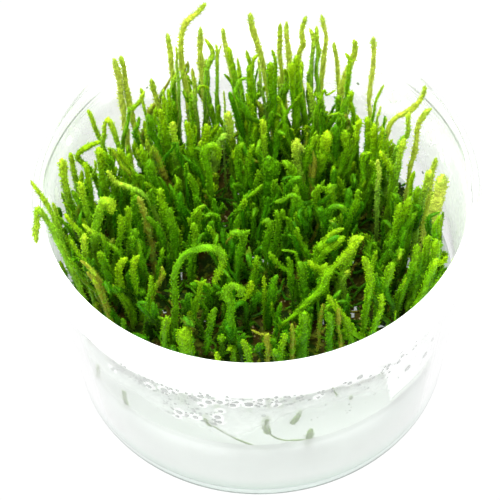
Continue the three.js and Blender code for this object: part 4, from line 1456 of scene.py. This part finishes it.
# %% Fog ring
FOG_STEPS = 480
FOG_ROWS = 64
FOG_INSET = 0.55
FOG_THICKNESS = 0.12
FOG_BOTTOM, FOG_TOP = JELLY_TOP + 1.2, 58.3
DENSE_ANGLES = (-180, -140, -110, -75, -60, -45, -30, 0, 20, 34, 36, 38, 60, 68, 80, 110, 140, 180)
DENSE_FROM = (62, 62, 61, 50, 42.5, 42, 43, 44.5, 43.5, 41, 34, 26, 25.5, 38, 49, 61, 62, 62)
HAZE_ANGLES = (-180, -110, -75, -50, -38, -20, -8, 0, 10, 25, 40, 55, 75, 110, 180)
HAZE_FROM = (40, 34, 30, 31, 34, 30.5, 27.5, 33, 38, 38, 31, 29, 30, 34, 40)
HAZE_ANGLES_BACK = (90, 130, 180)
HAZE_SHARE = (0.55, 0.25, 0.12)
FOG_ASTRAY = 0.9
DENSE_EDGE, HAZE_EDGE = (-0.9, 0.9), (-2.5, 1.5)
HALO_EDGE = (0.6, 1.2)


def fog_share(x, y, z):
    """How thick the fog is at a place on the wall, from 0 to 1."""
    angle = math.degrees(math.atan2(x, -y))
    astray = FOG_ASTRAY * noise.noise(Vector((angle * 0.09, z * 0.25, 3.0)))
    dense = np.interp(z + astray - np.interp(angle, DENSE_ANGLES, DENSE_FROM), DENSE_EDGE, (0.0, 1.0))
    haze = np.interp(z + 2 * astray - np.interp(angle, HAZE_ANGLES, HAZE_FROM), HAZE_EDGE, (0.0, 1.0))
    off_drops = np.min(np.linalg.norm(large_drops[:, :3] - (x, y, z), axis=1) - large_drops[:, 3])
    halo = np.interp(off_drops, HALO_EDGE, (1.0, 0.0))
    return max(dense, halo, haze * np.interp(abs(angle), HAZE_ANGLES_BACK, HAZE_SHARE))


rows = np.linspace(FOG_BOTTOM, FOG_TOP, FOG_ROWS)
outer = [(wall_radius(z) - FOG_INSET, z) for z in rows]
inner = [(wall_radius(z) - FOG_INSET - FOG_THICKNESS, z) for z in rows[::-1]]
fog = spin_section(outer + inner + outer[:1], FOG_STEPS)
thick = fog.verts.layers.float.new("fog")
for vert in fog.verts:
    x, y, z = vert.co / MM
    outside = math.hypot(x, y) > wall_radius(z) - FOG_INSET - FOG_THICKNESS / 2
    vert[thick] = fog_share(x, y, z) if outside else 0.0
print("fog ring:", len(fog.faces), "faces")

# %% Fog material
FOG_GLOW = 0.42
FOG_COLOUR = (0.95, 0.96, 0.95, 1)
HAZE_GLOW = (0.72, 0.76, 0.73, 1)
HAZE_COLOUR = (0.72, 0.78, 0.73, 1)

mist, tree, output = new_material("fogged_wall")
share = point_value(tree, "fog")
mottle = ramp_value(tree, object_noise(tree, 420.0, 3.0), 0.35, 0.65, 0.85, 1.15)
whiteness = ramp_value(tree, share, 0.5, 1.0)
haze_glow = colour_mix(tree, ramp_value(tree, share, 0.0, 0.5), BLACK, HAZE_GLOW)
foggy = principled(
    tree,
    {
        "Base Color": colour_mix(tree, whiteness, HAZE_COLOUR, FOG_COLOUR),
        "Roughness": 0.9,
        "Specular IOR Level": 0.0,
        "Alpha": product(tree, share, mottle, clamped=True),
        "Emission Color": colour_mix(tree, whiteness, haze_glow, WHITE),
        "Emission Strength": FOG_GLOW,
    },
)
tree.links.new(foggy, output.inputs[0])
finish_piece("wall_fog", fog, mist, "clear_plastic")
print("fog placed")

# %% [markdown]
# In the fog hang drops. The large ones stand where the photograph shows them, the small ones at random round them: so
# many in each part of the wall, between limits for their angles, heights and radii. A drop is a cube that is cut finer,
# blown up to a ball and flattened on to the wall. It has only 54 faces, because it is repeated hundreds of times, as
# arrays joined to one mesh.

# %% Drops on the wall
WALL_LEAN = (WALL_RADII[1] - WALL_RADII[0]) / (WALL_HEIGHTS[1] - WALL_HEIGHTS[0])
DROP_FLATNESS, DROP_DEEPEST = 0.4, 0.22
SMALL_DROPS = {
    "far_left": (40, (-44, -33), (39, 44), (0.15, 0.5)),
    "left": (50, (-33, -16), (38.5, 44), (0.12, 0.45)),
    "below_left": (45, (-28, -12), (32, 38), (0.12, 0.5)),
    "middle": (60, (-16, 10), (41.5, 45.5), (0.12, 0.5)),
    "right": (16, (10, 25), (42, 45), (0.15, 0.4)),
    "far_right": (22, (25, 46), (39, 44), (0.15, 0.4)),
    "below_right": (30, (-5, 45), (31, 40), (0.1, 0.25)),
    "all_round": (40, (-170, 170), (33, 50), (0.25, 0.6)),
}


def random_drops(count, *limits):
    """Angle from the front in degrees, height and radius of small drops, each between its limits."""
    return np.stack([dice.uniform(low, high, count) for low, high in limits], 1)


drops = [random_drops(*region) for region in SMALL_DROPS.values()]
drops += [[[math.degrees(math.atan2(x, -y)), z, radius]] for x, y, z, radius in large_drops]
drops = np.vstack(drops)

bm = bmesh.new()
bmesh.ops.create_cube(bm, size=2.0)
bmesh.ops.subdivide_edges(bm, edges=bm.edges[:], cuts=2, use_grid_fill=True)
for vert in bm.verts:
    vert.co.normalize()
ball, ball_faces = arrays_of_bmesh(bm)
turns, heights, radii = np.radians(drops[:, 0]), drops[:, 1], drops[:, 2]
sine, cosine, none = np.sin(turns), np.cos(turns), np.zeros(len(turns))
sideways = np.stack([cosine, sine, none], 1)
upwards = np.stack([sine * WALL_LEAN, -cosine * WALL_LEAN, none + 1], 1)
inwards = np.stack([-sine, cosine, none], 1)
depths = np.minimum(radii * DROP_FLATNESS, DROP_DEEPEST)
middles = -inwards * (wall_radius(heights) - DROP_INSET - depths)[:, None] + np.stack([none, none, heights], 1)
points = middles[:, None]
for way, unit, sizes in zip((sideways, upwards, inwards), ball.T, (radii, radii, depths)):
    points = points + way[:, None] * unit[None, :, None] * sizes[:, None, None]
faces = ball_faces[None] + (np.arange(len(drops)) * len(ball))[:, None, None]
drop_mesh = mesh_of_arrays("wall_drops", points.reshape(-1, 3), faces.reshape(-1, 4))
drop_mesh.shade_smooth()

# Painted shade: the clear water is painted grey, in place of the darker moss that the drops bend into view.
DROP_PAINTED_GREY = (0.42, 0.47, 0.43, 1)
DROP_CLEARNESS = 0.35
water, tree, output = new_material("drops_of_water")
clear = principled(
    tree,
    {
        "Base Color": DROP_PAINTED_GREY,
        "Roughness": ramp_value(tree, object_noise(tree, 500.0), 0.4, 0.6, 0.0, 0.05),
        "IOR": WATER_IOR,
        "Transmission Weight": DROP_CLEARNESS,
    },
)
let_lamps_through(tree, output, clear, DROP_PAINTED_GREY)
place_piece("wall_drops", drop_mesh, water, "clear_plastic")
print("drops:", len(drops))

# %% [markdown]
# A few loose strands cling to the wet front wall, behind the haze, which pales them; their material is painted paler
# too, and glows faintly, as painted light of that haze.

# %% Strands on the wall
STRAND_ROOM = 0.25
WALL_STRANDS = {
    "long_head": (7, [(213, 421), (209, 418), (206, 411)]),
    "long_tail": (4, [(270, 447), (256, 442), (240, 436), (226, 429), (213, 421)]),
    "u_left": (9, [(268, 428), (265, 422), (266, 416), (268, 411)]),
    "u_bottom": (4, [(309, 436), (298, 436), (284, 436), (274, 433), (268, 428)]),
    "u_end": (8, [(306, 440), (307, 436), (309, 430), (310, 424)]),
    "bar": (8, [(292, 418), (297, 412), (300, 405)]),
    "right_bit_1": (5, [(336, 393), (333, 388), (331, 382)]),
    "right_bit_2": (5.5, [(349, 395), (349, 391)]),
    "left_v_1": (6.5, [(131, 404), (128, 394), (127, 387)]),
    "left_v_2": (3.5, [(130, 406), (125, 402), (120, 398)]),
    "far_left": (6, [(101, 377), (102, 368), (103, 360)]),
}
strands = []
for thickness, pixels in WALL_STRANDS.values():
    inset = thickness * MM_PER_PIXEL / 2 + STRAND_ROOM
    line = np.array([seen_on_wall(pixel, inset) for pixel in pixels])
    strands.append(leafy_shoot(line, thickness, 0.4, 0.0, 1.0, density=5.0, astray=0.1, ageing=0.3))
place_piece("wall_strands", join_arrays("wall_strands", strands), haze_lit_moss, "moss_shoot")
print("strands on the wall:", len(strands))
